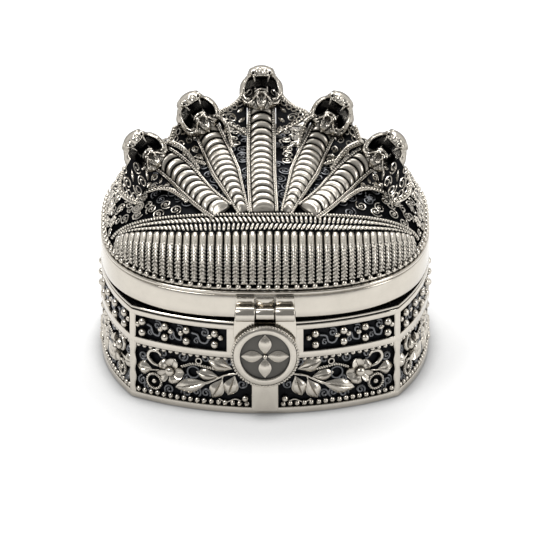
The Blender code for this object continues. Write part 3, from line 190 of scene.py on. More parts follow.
OUTER_COBRA = {
    "path": (
        (11.8, -25.8), (15.4, -21.7), (19.0, -15.6), (22.6, -9.8, 55.8), (26.2, -6.4, 57.6),
        (30.6, -5.2, 59.7),
    ),
    "foot_width": 0.95,
    "lean": 34.0,
    "cups": (0.55, 1.4),
    "wings": (
        (
            (0.30, 4.5), (0.45, 4.9), (0.58, 6.1), (0.69, 9.3), (0.79, 12.9),
            (0.87, 15.2), (0.97, 16.0), (1.07, 15.6), (1.13, 13.4), (1.15, 10.6),
        ),
        ((0.58, 4.5), (0.64, 4.8), (0.70, 5.2), (0.76, 5.5), (0.82, 5.5), (0.88, 5.2), (0.93, 4.8)),
    ),
    "head": (33.6, -5.0, 61.0),
    "roll": 40.0,
    "turn": -12.0,
}
COBRAS = {
    "left_outer": (OUTER_COBRA, -1),
    "left_inner": (INNER_COBRA, -1),
    "centre": (CENTRE_COBRA, 1),
    "right_inner": (INNER_COBRA, 1),
    "right_outer": (OUTER_COBRA, 1),
}
GAZE_ELEVATION = math.radians(27)
JITTER = np.random.default_rng(7)


# Materials


def link(tree, source, target):
    tree.links.new(source, target)


def add_node(tree, kind, inputs=(), **settings):
    made = tree.nodes.new(kind)
    for name, value in settings.items():
        setattr(made, name, value)
    for name, value in dict(inputs).items():
        if isinstance(value, bpy.types.NodeSocket):
            link(tree, value, made.inputs[name])
        else:
            made.inputs[name].default_value = value
    return made


def map_range(tree, value, low, high, to_low, to_high):
    made = add_node(
        tree, "ShaderNodeMapRange",
        {"Value": value, "From Min": low, "From Max": high, "To Min": to_low, "To Max": to_high},
    )
    return made.outputs["Result"]


def mix_colour(tree, factor, first, second):
    made = add_node(tree, "ShaderNodeMix", data_type="RGBA")
    link(tree, factor, made.inputs[0])
    for socket, value in ((made.inputs[6], first), (made.inputs[7], second)):
        if isinstance(value, bpy.types.NodeSocket):
            link(tree, value, socket)
        else:
            socket.default_value = (*value, 1.0)
    return made.outputs[2]


def maths(tree, operation, first, second):
    return add_node(tree, "ShaderNodeMath", {0: first, 1: second}, operation=operation).outputs[0]


def noise(tree, place, scale, detail, roughness):
    wanted = {"Vector": place, "Scale": scale, "Detail": detail, "Roughness": roughness}
    return add_node(tree, "ShaderNodeTexNoise", wanted).outputs["Fac"]


def nearness(tree, reach, samples, inputs=(), **settings):
    """How open a point is to its surroundings within this reach in mm; 1 is wide open."""
    wanted = {"Distance": reach * MM, **dict(inputs)}
    return add_node(tree, "ShaderNodeAmbientOcclusion", wanted, samples=samples, **settings).outputs["AO"]


def metal(name, bright, darkened, smooth, rough, reach, onset, grain, brushed, alone=False, rim=(1.0, 1.0, 1.0)):
    """Silver that is bright where it is open and rubbed, and dark in its recesses: partly its own oxide,
    partly painted shade.

    The oxide and the painted shade sit where nearby faces close a point in, within the given reach in mm.
    Grain is the relief of the surface and brushed the share of it that runs in level lines. Alone leaves
    other pieces out of the closing in; rim tints what shows at a glancing view.
    """
    made = bpy.data.materials.new(name)
    made.use_nodes = True
    tree = made.node_tree
    shader = tree.nodes["Principled BSDF"]
    place = add_node(tree, "ShaderNodeTexCoord").outputs["Object"]
    streaked = add_node(tree, "ShaderNodeMapping", {"Vector": place, "Scale": (1.0, 1.0, 14.0)}).outputs[0]
    blotches = noise(tree, place, 160.0, 5.0, 0.62)
    pits = noise(tree, place, 1500.0, 3.0, 0.55)
    lines = noise(tree, streaked, 420.0, 4.0, 0.7)
    shift = maths(tree, "MULTIPLY", maths(tree, "SUBTRACT", blotches, 0.5), 0.35)
    # Painted shade with the oxide: AO, shifted by blotchy noise, turns closed-in places from the rubbed
    # silver to the dark colour.
    openness = maths(tree, "ADD", nearness(tree, reach, 6, only_local=alone), shift)
    rubbed_and_unshaded = map_range(tree, openness, onset[0], onset[1], 0.0, 1.0)
    tone = map_range(tree, blotches, 0.3, 0.7, 0.0, 1.0)
    worn = mix_colour(tree, tone, tuple(0.9 * c for c in bright), bright)
    link(tree, mix_colour(tree, rubbed_and_unshaded, darkened, worn), shader.inputs["Base Color"])
    polish = map_range(tree, lines, 0.3, 0.7, smooth * 0.8, smooth * 1.25)
    extra = maths(tree, "MULTIPLY", maths(tree, "SUBTRACT", 1.0, rubbed_and_unshaded), rough)
    link(tree, maths(tree, "ADD", polish, extra), shader.inputs["Roughness"])
    shader.inputs["Metallic"].default_value = 1.0
    shader.inputs["Specular Tint"].default_value = (*rim, 1.0)
    relief = maths(tree, "ADD", pits, maths(tree, "MULTIPLY", lines, brushed))
    wanted = {"Height": relief, "Strength": grain, "Distance": 0.05 * MM}
    link(tree, add_node(tree, "ShaderNodeBump", wanted).outputs["Normal"], shader.inputs["Normal"])
    return made


SILVER = (0.575, 0.535, 0.47)
# The silver at 0.8 of its brightness for the chain links on the ribs: painted shade.
CHAIN_SHADE_SILVER = (0.46, 0.43, 0.38)
# Darker copy of the silver for wires that lie low or in a cobra's shade: painted shade.
PAINTED_SHADE_SILVER = (0.16, 0.163, 0.17)
# Black of closed-in places: the silver's oxide in its hollows, with painted shade.
OXIDE_AND_SHADE_BLACK = (0.008, 0.008, 0.009)
BLACKENED = (0.011, 0.0112, 0.0122)
POLISHED = metal("polished_silver", SILVER, (0.03, 0.031, 0.035), 0.16, 0.3, 1.2, (0.1, 0.45), 0.1, 0.8)
CARVED = metal("carved_silver", SILVER, OXIDE_AND_SHADE_BLACK, 0.23, 0.35, 1.4, (0.34, 0.76), 0.35, 0.2)
SCALED = metal("scute_silver", SILVER, OXIDE_AND_SHADE_BLACK, 0.3, 0.35, 1.8, (0.57, 0.94), 0.3, 0.2)
# Cobra faces darken by AO over 4.2 mm of their own mesh: painted shade in the mouths and hollows, with the
# oxide.
FACE = metal(
    "cobra_silver", SILVER, OXIDE_AND_SHADE_BLACK, 0.2, 0.35, 4.2, (0.52, 0.86), 0.3, 0.2, alone=True, rim=(0.3, 0.3, 0.3)
)
CHAIN_SHADE = metal("chain_shade_silver", CHAIN_SHADE_SILVER, OXIDE_AND_SHADE_BLACK, 0.27, 0.35, 0.8, (0.3, 0.72), 0.4, 0.2)
WIREWORK = metal("wirework_silver", SILVER, OXIDE_AND_SHADE_BLACK, 0.24, 0.35, 0.9, (0.36, 0.78), 0.3, 0.1)
PAINTED_SHADE_WIRE = metal("painted_shade_wirework", PAINTED_SHADE_SILVER, (0.008, 0.01, 0.014), 0.34, 0.3, 1.0, (0.3, 0.8), 0.4, 0.1)
OXIDISED = metal(
    "oxidised_silver", BLACKENED, (0.004, 0.005, 0.007), 0.45, 0.2, 1.5, (0.3, 0.95), 0.5, 0.1,
    rim=(0.1, 0.1, 0.105),
)
TARNISHED = metal(
    "tarnished_silver", (0.1, 0.095, 0.086), (0.012, 0.013, 0.015), 0.36, 0.2, 2.6, (0.5, 0.92), 0.4, 0.3
)
SATIN = metal(
    "satin_silver", (0.33, 0.31, 0.28), (0.04, 0.04, 0.045), 0.34, 0.25, 1.5, (0.1, 0.5), 0.3, 1.6
)
SLOTS = {
    **dict.fromkeys((POLISHED, SATIN), "polished_silver"),
    **dict.fromkeys((CARVED, SCALED, FACE, CHAIN_SHADE, WIREWORK, PAINTED_SHADE_WIRE), "filigree_silver"),
    **dict.fromkeys((OXIDISED, TARNISHED), "oxidised_silver"),
}


# Closed shapes gathered into one mesh


def unit_ball(level):
    work = bmesh.new()
    bmesh.ops.create_icosphere(work, subdivisions=level, radius=1.0)
    points = np.array([vert.co for vert in work.verts])
    faces = np.array([[vert.index for vert in face.verts] for face in work.faces])
    work.free()
    return points, faces


BALLS = {level: unit_ball(level) for level in (1, 2, 3)}


def unit(vectors):
    vectors = np.asarray(vectors, float)
    return vectors / np.maximum(1e-9, np.linalg.norm(vectors, axis=-1, keepdims=True))


def run_along(path):
    """How far each point of a path lies along it."""
    return np.concatenate(([0.0], np.cumsum(np.linalg.norm(np.diff(path, axis=0), axis=1))))


def point_at(run, data, at):
    """The values of a path's data this far along it."""
    return np.stack([np.interp(at, run, data[:, k]) for k in range(3)], axis=-1)


def resample(path, normals, step):
    """The path and its normals at even steps of about this length."""
    run = run_along(path)
    count = max(3, round(run[-1] / step) + 1)
    at = np.linspace(0.0, run[-1], count)
    return point_at(run, path, at), unit(point_at(run, normals, at))


def side_ways(path, normals, closed=False):
    """At each point of a path: the way along it, the way across and the way up."""
    if closed:
        along = unit(np.roll(path, -1, axis=0) - np.roll(path, 1, axis=0))
    else:
        along = unit(np.gradient(path, axis=0))
    up = unit(normals - along * np.sum(normals * along, axis=1, keepdims=True))
    return along, np.cross(along, up), up


class Form:
    """Points and faces gathered from closed shapes, in mm."""

    def __init__(self):
        self.points, self.quads, self.triangles, self.count = [], [], [], 0

    def add(self, points, faces):
        points, faces = np.asarray(points, float).reshape(-1, 3), np.asarray(faces, int)
        (self.quads if faces.shape[1] == 4 else self.triangles).append(faces + self.count)
        self.points.append(points)
        self.count += len(points)

    def skin(self, rows, ring=False, tips=None):
        """Faces between rows of closed loops; without a ring each end closes on a point."""
        rows = np.asarray(rows, float)
        m, n = rows.shape[:2]
        i = np.arange(m if ring else m - 1)[:, None]
        j = np.arange(n)[None, :]
        k, near = (j + 1) % n, (i + 1) % m
        quads = np.stack([i * n + j, i * n + k, near * n + k, near * n + j], axis=-1).reshape(-1, 4)
        start = self.count
        self.add(rows, quads)
        if ring:
            return
        tips = tips if tips is not None else (rows[0].mean(axis=0), rows[-1].mean(axis=0))
        j, k = np.arange(n), (np.arange(n) + 1) % n
        self.points.append(np.asarray(tips, float))
        low, high = np.full(n, self.count), np.full(n, self.count + 1)
        last = start + (m - 1) * n
        self.triangles.append(np.stack([start + k, start + j, low], axis=1))
        self.triangles.append(np.stack([last + j, last + k, high], axis=1))
        self.count += 2

    def ball(self, centre, radii, axes=None, level=2):
        points, faces = BALLS[level]
        points = points * np.asarray(radii, float)
        if axes is not None:
            points = points @ np.asarray(axes, float)
        self.add(points + np.asarray(centre, float), faces)

    def tube(self, path, normals, radius, sides=6, closed=False):
        """A round wire; it closes on itself or ends in blunt tips."""
        path, normals = np.asarray(path, float), np.asarray(normals, float)
        along, across, up = side_ways(path, normals, closed)
        turn = np.arange(sides) / sides * 2 * math.pi
        radius = np.broadcast_to(np.asarray(radius, float), (len(path),))[:, None, None]
        ring = np.cos(turn)[:, None] * across[:, None] + np.sin(turn)[:, None] * up[:, None]
        tips = (path[0] - along[0] * radius[0, 0] * 0.7, path[-1] + along[-1] * radius[-1, 0] * 0.7)
        self.skin(path[:, None] + ring * radius, ring=closed, tips=tips)

    def cord(self, path, normals, radius, pitch, closed=False):
        """A twisted cord, as a row of slanted turns."""
        path, normals = np.asarray(path, float), np.asarray(normals, float)
        if closed:
            path, normals = np.vstack([path, path[:1]]), np.vstack([normals, normals[:1]])
        path, normals = resample(path, normals, pitch)
        if closed:
            path, normals = path[:-1], normals[:-1]
        for here, way, side, out in zip(path, *side_ways(path, normals, closed)):
            slant = unit(way * 0.8 + side)
            self.ball(here, (1.2 * radius, 0.44 * pitch, 0.9 * radius), (slant, np.cross(out, slant), out))

    def piece(self, name, material, body, replaces=(), sharp=60):
        """Makes the mesh, a piece that rides on a body and may stand for nodes of the model."""
        quads = np.concatenate(self.quads) if self.quads else np.zeros((0, 4), int)
        triangles = np.concatenate(self.triangles) if self.triangles else np.zeros((0, 3), int)
        points = np.concatenate(self.points) * MM
        mesh = bpy.data.meshes.new(name)
        mesh.vertices.add(len(points))
        mesh.vertices.foreach_set("co", points.ravel())
        corners = np.concatenate([quads.ravel(), triangles.ravel()])
        mesh.loops.add(len(corners))
        mesh.loops.foreach_set("vertex_index", corners)
        sizes = np.concatenate([np.full(len(quads), 4), np.full(len(triangles), 3)])
        mesh.polygons.add(len(sizes))
        mesh.polygons.foreach_set("loop_start", np.concatenate([[0], np.cumsum(sizes)[:-1]]))
        mesh.update(calc_edges=True)
        mesh.validate()
        work = bmesh.new()
        work.from_mesh(mesh)
        bmesh.ops.recalc_face_normals(work, faces=work.faces)
        work.to_mesh(mesh)
        work.free()
        mesh.shade_smooth()
        mesh.set_sharp_from_angle(angle=math.radians(sharp))
        mesh.materials.append(material)
        obj = bpy.data.objects.new(name, mesh)
        bpy.context.scene.collection.objects.link(obj)
        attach(obj, body)
        if replaces:
            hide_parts(*replaces)
        return obj


# Shapes laid on a surface, which turns two coordinates and a lift into a point


def on(surface, points, lift=0.0):
    """Points and outward ways of a surface over plane points."""
    base = np.array([surface(a, b, lift) for a, b in points], float)
    above = np.array([surface(a, b, lift + 0.5) for a, b in points], float)
    return base, unit(above - base)


def lay_wire(form, surface, points, lift, radius, sides=6, closed=False):
    form.tube(*on(surface, points, lift), radius, sides, closed)


def lay_cord(form, surface, points, lift, radius, pitch, closed=False):
    form.cord(*on(surface, points, lift), radius, pitch, closed=closed)


def lay_ball(form, surface, place, lift, radius, level=2, flat=1.0, stretch=1.0, turn=0.0):
    """A bead; stretch lengthens it along the given turn in the surface."""
    a, b = place
    centre = np.array(surface(a, b, lift))
    c, s = math.cos(turn), math.sin(turn)
    along = unit(np.array(surface(a + 0.1 * c, b + 0.1 * s, lift)) - centre)
    up = unit(np.array(surface(a, b, lift + 0.5)) - centre)
    across = np.cross(up, along)
    form.ball(centre, (radius * stretch, radius, radius * flat), (along, across, up), level)


LEAF_ACROSS = (-1.0, -0.8, -0.58, -0.36, -0.16, 0.0, 0.16, 0.36, 0.58, 0.8, 1.0)


def lay_leaf(
    form, surface, tip, root, width, height, lift, roundness=0.82, steps=11, vein=0.3, point=1.2, cupped=False
):
    """A leaf from its pointed tip to its root, with a sunk vein and fine furrows.

    A higher point makes its ends sharper; a cupped leaf is raised at its edges.
    """
    tip, root = np.array(tip, float), np.array(root, float)
    run = root - tip
    across = np.array((-run[1], run[0])) / np.linalg.norm(run)
    rows = []
    for i in range(steps + 1):
        u = i / steps
        swell = max(0.02, math.sin(math.pi * min(1.0, max(0.0, u)) ** roundness)) ** point
        loop = []
        for v in LEAF_ACROSS:
            a, b = tip + run * u + across * v * swell * width / 2
            crown = (0.35 + 0.65 * v * v if cupped else 1 - v * v) * (0.45 + 0.55 * swell) * swell
            furrow = 0.07 * math.cos(5 * math.pi * v) + vein * math.exp(-((v / 0.13) ** 2))
            loop.append(surface(a, b, lift + height * (0.12 + crown - furrow * swell)))
        for v in (1.0, 0.0, -1.0):
            a, b = tip + run * u + across * v * swell * width / 2
            loop.append(surface(a, b, lift - 0.25))
        rows.append(loop)
    form.skin(rows)


def scroll(centre, radius, turns, start, way=1, inner=0.22):
    """Plane points of a spiral, from its outer end in to its eye."""
    steps = max(8, round(14 * turns))
    made = []
    for i in range(steps + 1):
        t = i / steps
        turn = start + way * 2 * math.pi * turns * t
        reach = radius * (1 - (1 - inner) * t**0.8)
        made.append((centre[0] + reach * math.cos(turn), centre[1] + reach * math.sin(turn)))
    return made


def bend(points, steps=16):
    """Evenly spaced plane points on a smooth curve."""
    line, _ = smooth_line([Vector(point) for point in points], steps)
    return [tuple(point) for point in line]


def smooth_line(points, steps=48):
    """Evenly spaced points on a smooth curve through the given ones."""
    ends = [points[0] * 2 - points[1]] + points + [points[-1] * 2 - points[-2]]
    fine = []
    for a, b, c, d in zip(ends, ends[1:], ends[2:], ends[3:]):
        for i in range(12):
            t = i / 12
            square, cube = 2 * a - 5 * b + 4 * c - d, 3 * b - a - 3 * c + d
            fine.append(0.5 * (2 * b + (c - a) * t + square * t**2 + cube * t**3))
    fine.append(points[-1])
    run = [0.0]
    for a, b in zip(fine, fine[1:]):
        run.append(run[-1] + (b - a).length)
    made, k = [], 0
    for i in range(steps + 1):
        want = run[-1] * i / steps
        while k < len(fine) - 2 and run[k + 1] < want:
            k += 1
        made.append(fine[k].lerp(fine[k + 1], (want - run[k]) / (run[k + 1] - run[k])))
    return made, run[-1]


# Walls of the box


class Wall:
    """A bowed wall. Its coordinates are the way along it from its middle and the height."""

    def __init__(self, side):
        wide = side in ("front", "back")
        sign = -1 if side in ("front", "left") else 1
        chord, corner = (CORNER_X, CORNER_Y) if wide else (CORNER_Y, CORNER_X)
        half = HALF_DEPTH if wide else HALF_WIDTH
        bow = half - corner
        self.radius = (chord**2 + bow**2) / (2 * bow)
        self.reach = self.radius * math.asin(chord / self.radius)
        place = sign * (half - self.radius)
        self.centre = (0.0, place) if wide else (place, 0.0)
        self.middle = sign * math.pi / 2 if wide else (0.0 if sign > 0 else math.pi)

    def __call__(self, s, z, lift=0.0):
        turn = self.middle + s / self.radius
        reach = self.radius + lift
        return (self.centre[0] + math.cos(turn) * reach, self.centre[1] + math.sin(turn) * reach, z)


SIDES = ("front", "right", "back", "left")
WALLS = {side: Wall(side) for side in SIDES}


def body_outline(inset, z, steps=24):
    """The closed outline of the box; its corners stay sharp at every inset."""
    front, right = WALLS["back"], WALLS["right"]
    a, b = front.radius - inset, right.radius - inset
    between = Vector((right.centre[0], -front.centre[1]))
    reach = between.length
    along = (a * a - b * b + reach * reach) / (2 * reach)
    across = math.sqrt(a * a - along * along)
    way = between / reach
    corner = Vector((0.0, front.centre[1])) + way * along + Vector((-way.y, way.x)) * across
    other = Vector((0.0, front.centre[1])) + way * along - Vector((-way.y, way.x)) * across
    corner = max((corner, other), key=lambda p: p.x + p.y)
    points = []
    for side in SIDES:
        wall = WALLS[side]
        if side in ("front", "back"):
            half = math.atan2(corner.x, corner.y - front.centre[1])
        else:
            half = math.atan2(corner.y, corner.x - right.centre[0])
        for i in range(steps):
            turn = half * (2 * i / steps - 1)
            points.append(wall(turn * wall.radius, z, -inset))
    return points


def rounded_bar(low, high, near, far, soft=0.28):
    """Section of a bar as (inset, z), with softened outer edges."""
    return (
        (far, low), (near + soft, low), (near + 0.3 * soft, low + 0.3 * soft), (near, low + soft),
        (near, high - soft), (near + 0.3 * soft, high - 0.3 * soft), (near + soft, high), (far, high),
    )


def slab(wall, start, end, low, high, depth, steps):
    """Rows of a sheet along a wall, from this depth in it to the back of the frame."""
    corners = ((low, -depth), (high, -depth), (high, -FRAME_THICKNESS), (low, -FRAME_THICKNESS))
    return [[wall(s, z, lift) for z, lift in corners] for s in np.linspace(start, end, steps + 1)]


def make_frame():
    form = Form()
    rails = ((0.0, BOTTOM_RAIL), (MIDDLE_RAIL_LOW, MIDDLE_RAIL_HIGH), (TOP_RAIL_LOW, FRAME_HEIGHT))
    for low, high in rails:
        section = rounded_bar(low, high, 0.0, FRAME_THICKNESS)
        form.skin([body_outline(inset, z) for inset, z in section], ring=True)
    for side, wall in WALLS.items():
        for way in (1, -1):
            edge = -way * wall.reach
            rows = []
            for z in np.linspace(BOTTOM_RAIL - 0.3, TOP_RAIL_LOW + 0.3, 25):
                wave = (0.22 if z < MIDDLE_RAIL_LOW else 0.05) * math.sin(z * 1.3)
                inner = edge + way * (POST_WIDTH + wave)
                rows.append([
                    wall(edge, z, -0.02), wall(inner - 0.25 * way, z, 0.0), wall(inner, z, -0.25),
                    wall(inner, z, -FRAME_THICKNESS), wall(edge, z, -FRAME_THICKNESS),
                ])
            form.skin(rows)
        if side in SOLID_HALF_WIDTHS:
            half = SOLID_HALF_WIDTHS[side]
            form.skin(slab(wall, -half, half, MIDDLE_RAIL_HIGH - 0.3, TOP_RAIL_LOW + 0.3, 0.0, 16))
    form.piece("wall_frame", POLISHED, "box", ["side_frame"], sharp=35)
    flange = Form()
    low, high = FLANGE_LOW, FLANGE_TOP
    section = ((0.15, low), (0.0, low + 0.15), (0.0, high - 0.15), (0.15, high))
    rows = [body_outline(inset, z) for inset, z in section]
    outer = [(x, y, lid_size(x, y, FLANGE_REACH)) for x, y, _ in body_outline(0.0, 0.0)]
    rows += [[(x / size, y / size, z) for x, y, size in outer] for z in (high, low)]
    flange.skin(rows, ring=True)
    flange.piece("mouth_flange", POLISHED, "box", ["top_flange"], sharp=35)


def window(side, row):
    """Spans along a wall of the openings in one row, and the row's heights."""
    end = WALLS[side].reach - POST_WIDTH
    if row == "lower":
        return [(-end, end)], BOTTOM_RAIL, MIDDLE_RAIL_LOW
    inner = SOLID_HALF_WIDTHS.get(side)
    return [(-end, -inner), (inner, end)] if inner else [(-end, end)], MIDDLE_RAIL_HIGH, TOP_RAIL_LOW


def make_backing(side, name, start, end, low, high):
    """The dark sheet behind an opening."""
    form = Form()
    form.skin(slab(WALLS[side], start, end, low, high, BACKING, max(8, round((end - start) / 2))))
    form.piece(name + "_ground", OXIDISED, "box", [name], sharp=35)


# Half of the branch on a wall, along the wall from its middle and up: leaves by tip, root and width
LEAVES = (
    ((-37.0, 9.5), (-32.2, 9.3), 4.2), ((-25.2, 5.4), (-15.8, 8.1), 4.3), ((-19.2, 11.0), (-12.8, 10.0), 3.6),
    ((-15.8, 14.9), (-9.0, 12.8), 4.2), ((-14.6, 3.7), (-11.7, 9.6), 4.2), ((-10.2, 4.8), (-8.3, 10.8), 4.2),
)
FLOWER = (-26.6, 10.2)
FLOWER_REACH = 4.0
FLOWER_PETALS = 5
HEART = (-31.4, 6.2)
CURL = ((-30.0, 11.0), (-31.9, 11.6), (-33.2, 13.4), (-32.3, 15.3), (-30.2, 15.3), (-29.4, 14.2))
STEM = ((-16.2, 7.9), (-12.6, 10.1), (-10.9, 11.0), (-7.5, 11.7))
STALKS = (((-33.0, 9.1), (-28.0, 10.0)), ((-11.8, 9.6), (-11.5, 10.8)), ((-17.5, 7.6), (-13.6, 9.4)))
TWIG = ((-23.1, 12.2), (-20.0, 13.4), (-17.0, 13.1), (-14.3, 12.7))
FOOT_WIRE = ((-12.6, 3.6), (-10.6, 2.9), (-8.2, 3.9), (-6.6, 3.4))
MIDDLE_LEAVES = (((-3.1, 5.0), (-0.7, 9.0), 2.5), ((-4.9, 14.4), (-1.0, 11.4), 2.5))
MIDDLE_STEM = ((-7.6, 11.7), (-4.0, 11.4), (-0.6, 10.2))
SCROLL_PLACES = (
    (-35.0, 13.0), (-35.3, 5.4), (-22.0, 4.3), (-19.0, 5.0), (-23.0, 15.0), (-33.4, 3.9), (-27.0, 4.4),
    (-16.4, 4.9), (-6.3, 8.4), (-6.0, 14.2), (-21.5, 8.7), (-12.5, 15.3), (-9.7, 15.2), (-2.8, 8.0),
    (-28.8, 14.9), (-16.3, 15.4),
)

# Granules: the row at the lower windows' edges, and the pairs in the upper windows
SMALL_BEAD_PITCH = 1.95
BEAD_PAIRS = (13.8, 21.8, 28.1, 35.0)
PAIR_PITCH = 6.4
PAIR_HALF_GAP = 1.62


def circle(centre, radius):
    return scroll(centre, radius, 1.0, 0.0, 1, 1.0)[:-1]


def make_vine(side):
    wall = WALLS[side]
    [(start, end)], low, high = window(side, "lower")
    name = "vine_panel_" + side
    make_backing(side, name, start, end, low, high)
    squeeze = end / (WALLS["front"].reach - POST_WIDTH)
    relief, ground = Form(), Form()
    base = -BACKING
    for way in (-1, 1):
        def surface(a, b, lift, way=way):
            return wall(-way * a * squeeze, b, lift)

        for tip, root, width in LEAVES + (() if side == "front" else MIDDLE_LEAVES):
            lay_leaf(relief, surface, tip, root, width, 1.0, base + 0.3)
        swell = 0.3 + 0.35 * np.sin(np.linspace(0.0, math.pi, 17))
        lay_wire(relief, surface, bend(CURL), base + 0.7, swell)
        for k in range(FLOWER_PETALS):
            angle = 1.25 + 2 * math.pi * k / FLOWER_PETALS
            run = Vector((math.cos(angle), math.sin(angle)))
            tip, root = Vector(FLOWER) + run * FLOWER_REACH, Vector(FLOWER) + run * 0.6
            shape = {"roundness": 0.72, "vein": 0.1, "point": 0.62, "cupped": k % 2 == 0}
            lay_leaf(relief, surface, tip, root, 3.5, 1.1, base + 0.5, **shape)
        lay_ball(relief, surface, FLOWER, base + 1.2, 1.3, 3, flat=0.85)
        lay_wire(relief, surface, circle(HEART, 2.2), base + 0.6, 0.45, closed=True)
        lay_cord(relief, surface, circle(HEART, 2.2), base + 0.95, 0.36, 0.6, closed=True)
        lay_ball(relief, surface, HEART, base + 0.7, 0.75)
        lay_wire(relief, surface, bend(STEM), base + 0.6, 0.34)
        for stalk in (*STALKS, bend(FOOT_WIRE)):
            lay_wire(relief, surface, stalk, base + 0.5, 0.25)
        lay_cord(relief, surface, bend(TWIG), base + 0.75, 0.42, 0.7)
        lay_wire(relief, surface, circle((-18.3, 14.6), 0.8), base + 0.8, 0.26, closed=True)
        lay_wire(ground, surface, scroll((-19.9, 10.9), 1.75, 0.98, 0.6, 1, 0.94), base + 0.5, 0.3)
        lay_ball(relief, surface, (-5.4, 4.3), base + 0.8, 0.95)
        if side != "front":
            lay_wire(relief, surface, bend(MIDDLE_STEM), base + 0.6, 0.34)
            lay_ball(relief, surface, (-1.7, 3.6), base + 0.8, 0.8)
        for i, (x, z) in enumerate(SCROLL_PLACES):
            if side == "front" and abs(x) < 3:
                continue
            points = scroll((x, z), 1.5, 1.4, i * 1.7, 1 if i % 2 else -1)
            lay_wire(ground, surface, points, base + 0.3, 0.32, 5)
    span = end - start - 1.6
    count = round(span / SMALL_BEAD_PITCH)
    for i in range(count + 1):
        s = start + 0.8 + span * i / count
        if side == "front" and abs(s) < TAB_HALF_WIDTH + 0.8:
            continue
        aside, up = JITTER.normal(0.0, 0.06, 2)
        lay_ball(relief, wall, (s + aside, low + 0.8 + up), base + 0.55, 0.78)
        lay_ball(relief, wall, (s + up, high - 0.35), base + 0.5, 0.74)
    relief.piece(name + "_branch", CARVED, "box")
    # The low scrolls behind the branch are in the darker wire silver: painted shade.
    ground.piece(name + "_scrolls", PAINTED_SHADE_WIRE, "box")


def make_beads(side):
    wall = WALLS[side]
    spans, low, high = window(side, "upper")
    middle = (low + high) / 2
    base = -BACKING
    for (start, end), ending in zip(spans, ("_a", "_b") if len(spans) > 1 else ("",)):
        name = "bead_panel_" + side + ending
        make_backing(side, name, start, end, low, high)
        relief, ground = Form(), Form()
        if side == "front":
            places = [place * (1 if start > 0 else -1) for place in BEAD_PAIRS]
        else:
            pairs = round((end - start) / PAIR_PITCH)
            places = [start + (end - start) * (i + 0.5) / pairs for i in range(pairs)]
        places.sort()
        for i, s in enumerate(places):
            for offset in (-PAIR_HALF_GAP, PAIR_HALF_GAP):
                lay_ball(relief, wall, (s, middle + offset), base + 0.85, 1.08, 3)
            side_bead = 1.55 if i % 2 else -1.75
            lay_ball(relief, wall, (s + side_bead, middle + 0.3), base + 0.55, 0.82, 2, flat=0.8)
            if i % 2:
                place = (s - 1.6, middle + 0.2)
                lay_ball(relief, wall, place, base + 0.4, 0.72, 2, flat=0.6, stretch=1.25, turn=0.4)
        for a, b in zip(places, places[1:]):
            s = (a + b) / 2
            wave = bend((
                (a + 1.3, middle + 0.9), (s - 0.9, middle + 0.5), (s - 0.2, middle - 1.3),
                (s + 1.4, middle - 1.7), (b - 1.6, middle - 0.2),
            ))
            lay_wire(ground, wall, wave, base + 0.35, 0.4)
            lay_wire(ground, wall, scroll((s + 1.0, middle + 1.3), 1.35, 1.3, 2.0, -1), base + 0.25, 0.32, 5)
            lay_wire(ground, wall, scroll((s - 1.2, middle - 1.5), 1.1, 1.2, 0.4), base + 0.2, 0.3, 5)
        relief.piece(name + "_beads", CARVED, "box")
        # The low scrolls between the beads are in the darker wire silver: painted shade.
        ground.piece(name + "_scrolls", PAINTED_SHADE_WIRE, "box")


# Lid


def lid_size(x, y, inset):
    """Share of the lid's outline at this inset that a plan point reaches."""
    half_x, half_y = HALF_WIDTH - inset, HALF_DEPTH - inset
    return (abs(x / half_x) ** LID_ROUNDNESS + abs(y / half_y) ** LID_ROUNDNESS) ** (1 / LID_ROUNDNESS)


def lid_edge(turn, inset, z):
    c, s = math.cos(turn), math.sin(turn)
    size = lid_size(c, s, inset)
    return (c / size, s / size, z)


def lid_outline(inset, z, steps=160):
    return [lid_edge(2 * math.pi * i / steps, inset, z) for i in range(steps)]


def dome_height(x, y):
    share = min(1.0, lid_size(x, y, DOME_INSET))
    return DOME_FOOT + (DOME_RISE + DOME_BACK_LIFT * y / DOME_HALF_Y) * math.sqrt(1 - share * share)


def dome_normal(x, y):
    share = max(1e-4, min(0.9999, lid_size(x, y, DOME_INSET)))
    rise = DOME_RISE + DOME_BACK_LIFT * y / DOME_HALF_Y
    height = rise * math.sqrt(1 - share * share)
    power = LID_ROUNDNESS - 1
    scale = share ** (1 - power)
    grad_x = scale * abs(x / DOME_HALF_X) ** power / DOME_HALF_X
    grad_y = scale * abs(y / DOME_HALF_Y) ** power / DOME_HALF_Y
    lift = (height / rise) ** 2 / rise * DOME_BACK_LIFT / DOME_HALF_Y
    return Vector(
        (math.copysign(grad_x, x), math.copysign(grad_y, y) - lift, height / rise**2)
    ).normalized()


def on_dome(x, y, lift):
    """A point this far off the dome over a plan point."""
    return Vector((x, y, dome_height(x, y))) + dome_normal(x, y) * lift


def dome_at(turn, lean, lift=0.0):
    """A point of the dome by its compass turn and its lean from the top."""
    x, y, _ = lid_edge(turn, DOME_INSET, 0.0)
    return on_dome(x * math.sin(lean), y * math.sin(lean), lift)


def dome_patch(turn, lean, spin):
    """Surface round a place on the dome, with plane coordinates in mm."""
    here = dome_at(turn, lean)
    per_turn = (dome_at(turn + 0.01, lean) - here).length / 0.01
    per_lean = (dome_at(turn, lean - 0.01) - here).length / 0.01
    c, s = math.cos(spin), math.sin(spin)

    def surface(a, b, lift):
        across, up = a * c - b * s, a * s + b * c
        return dome_at(turn + across / per_turn, min(1.56, lean - up / per_lean), lift)

    return surface


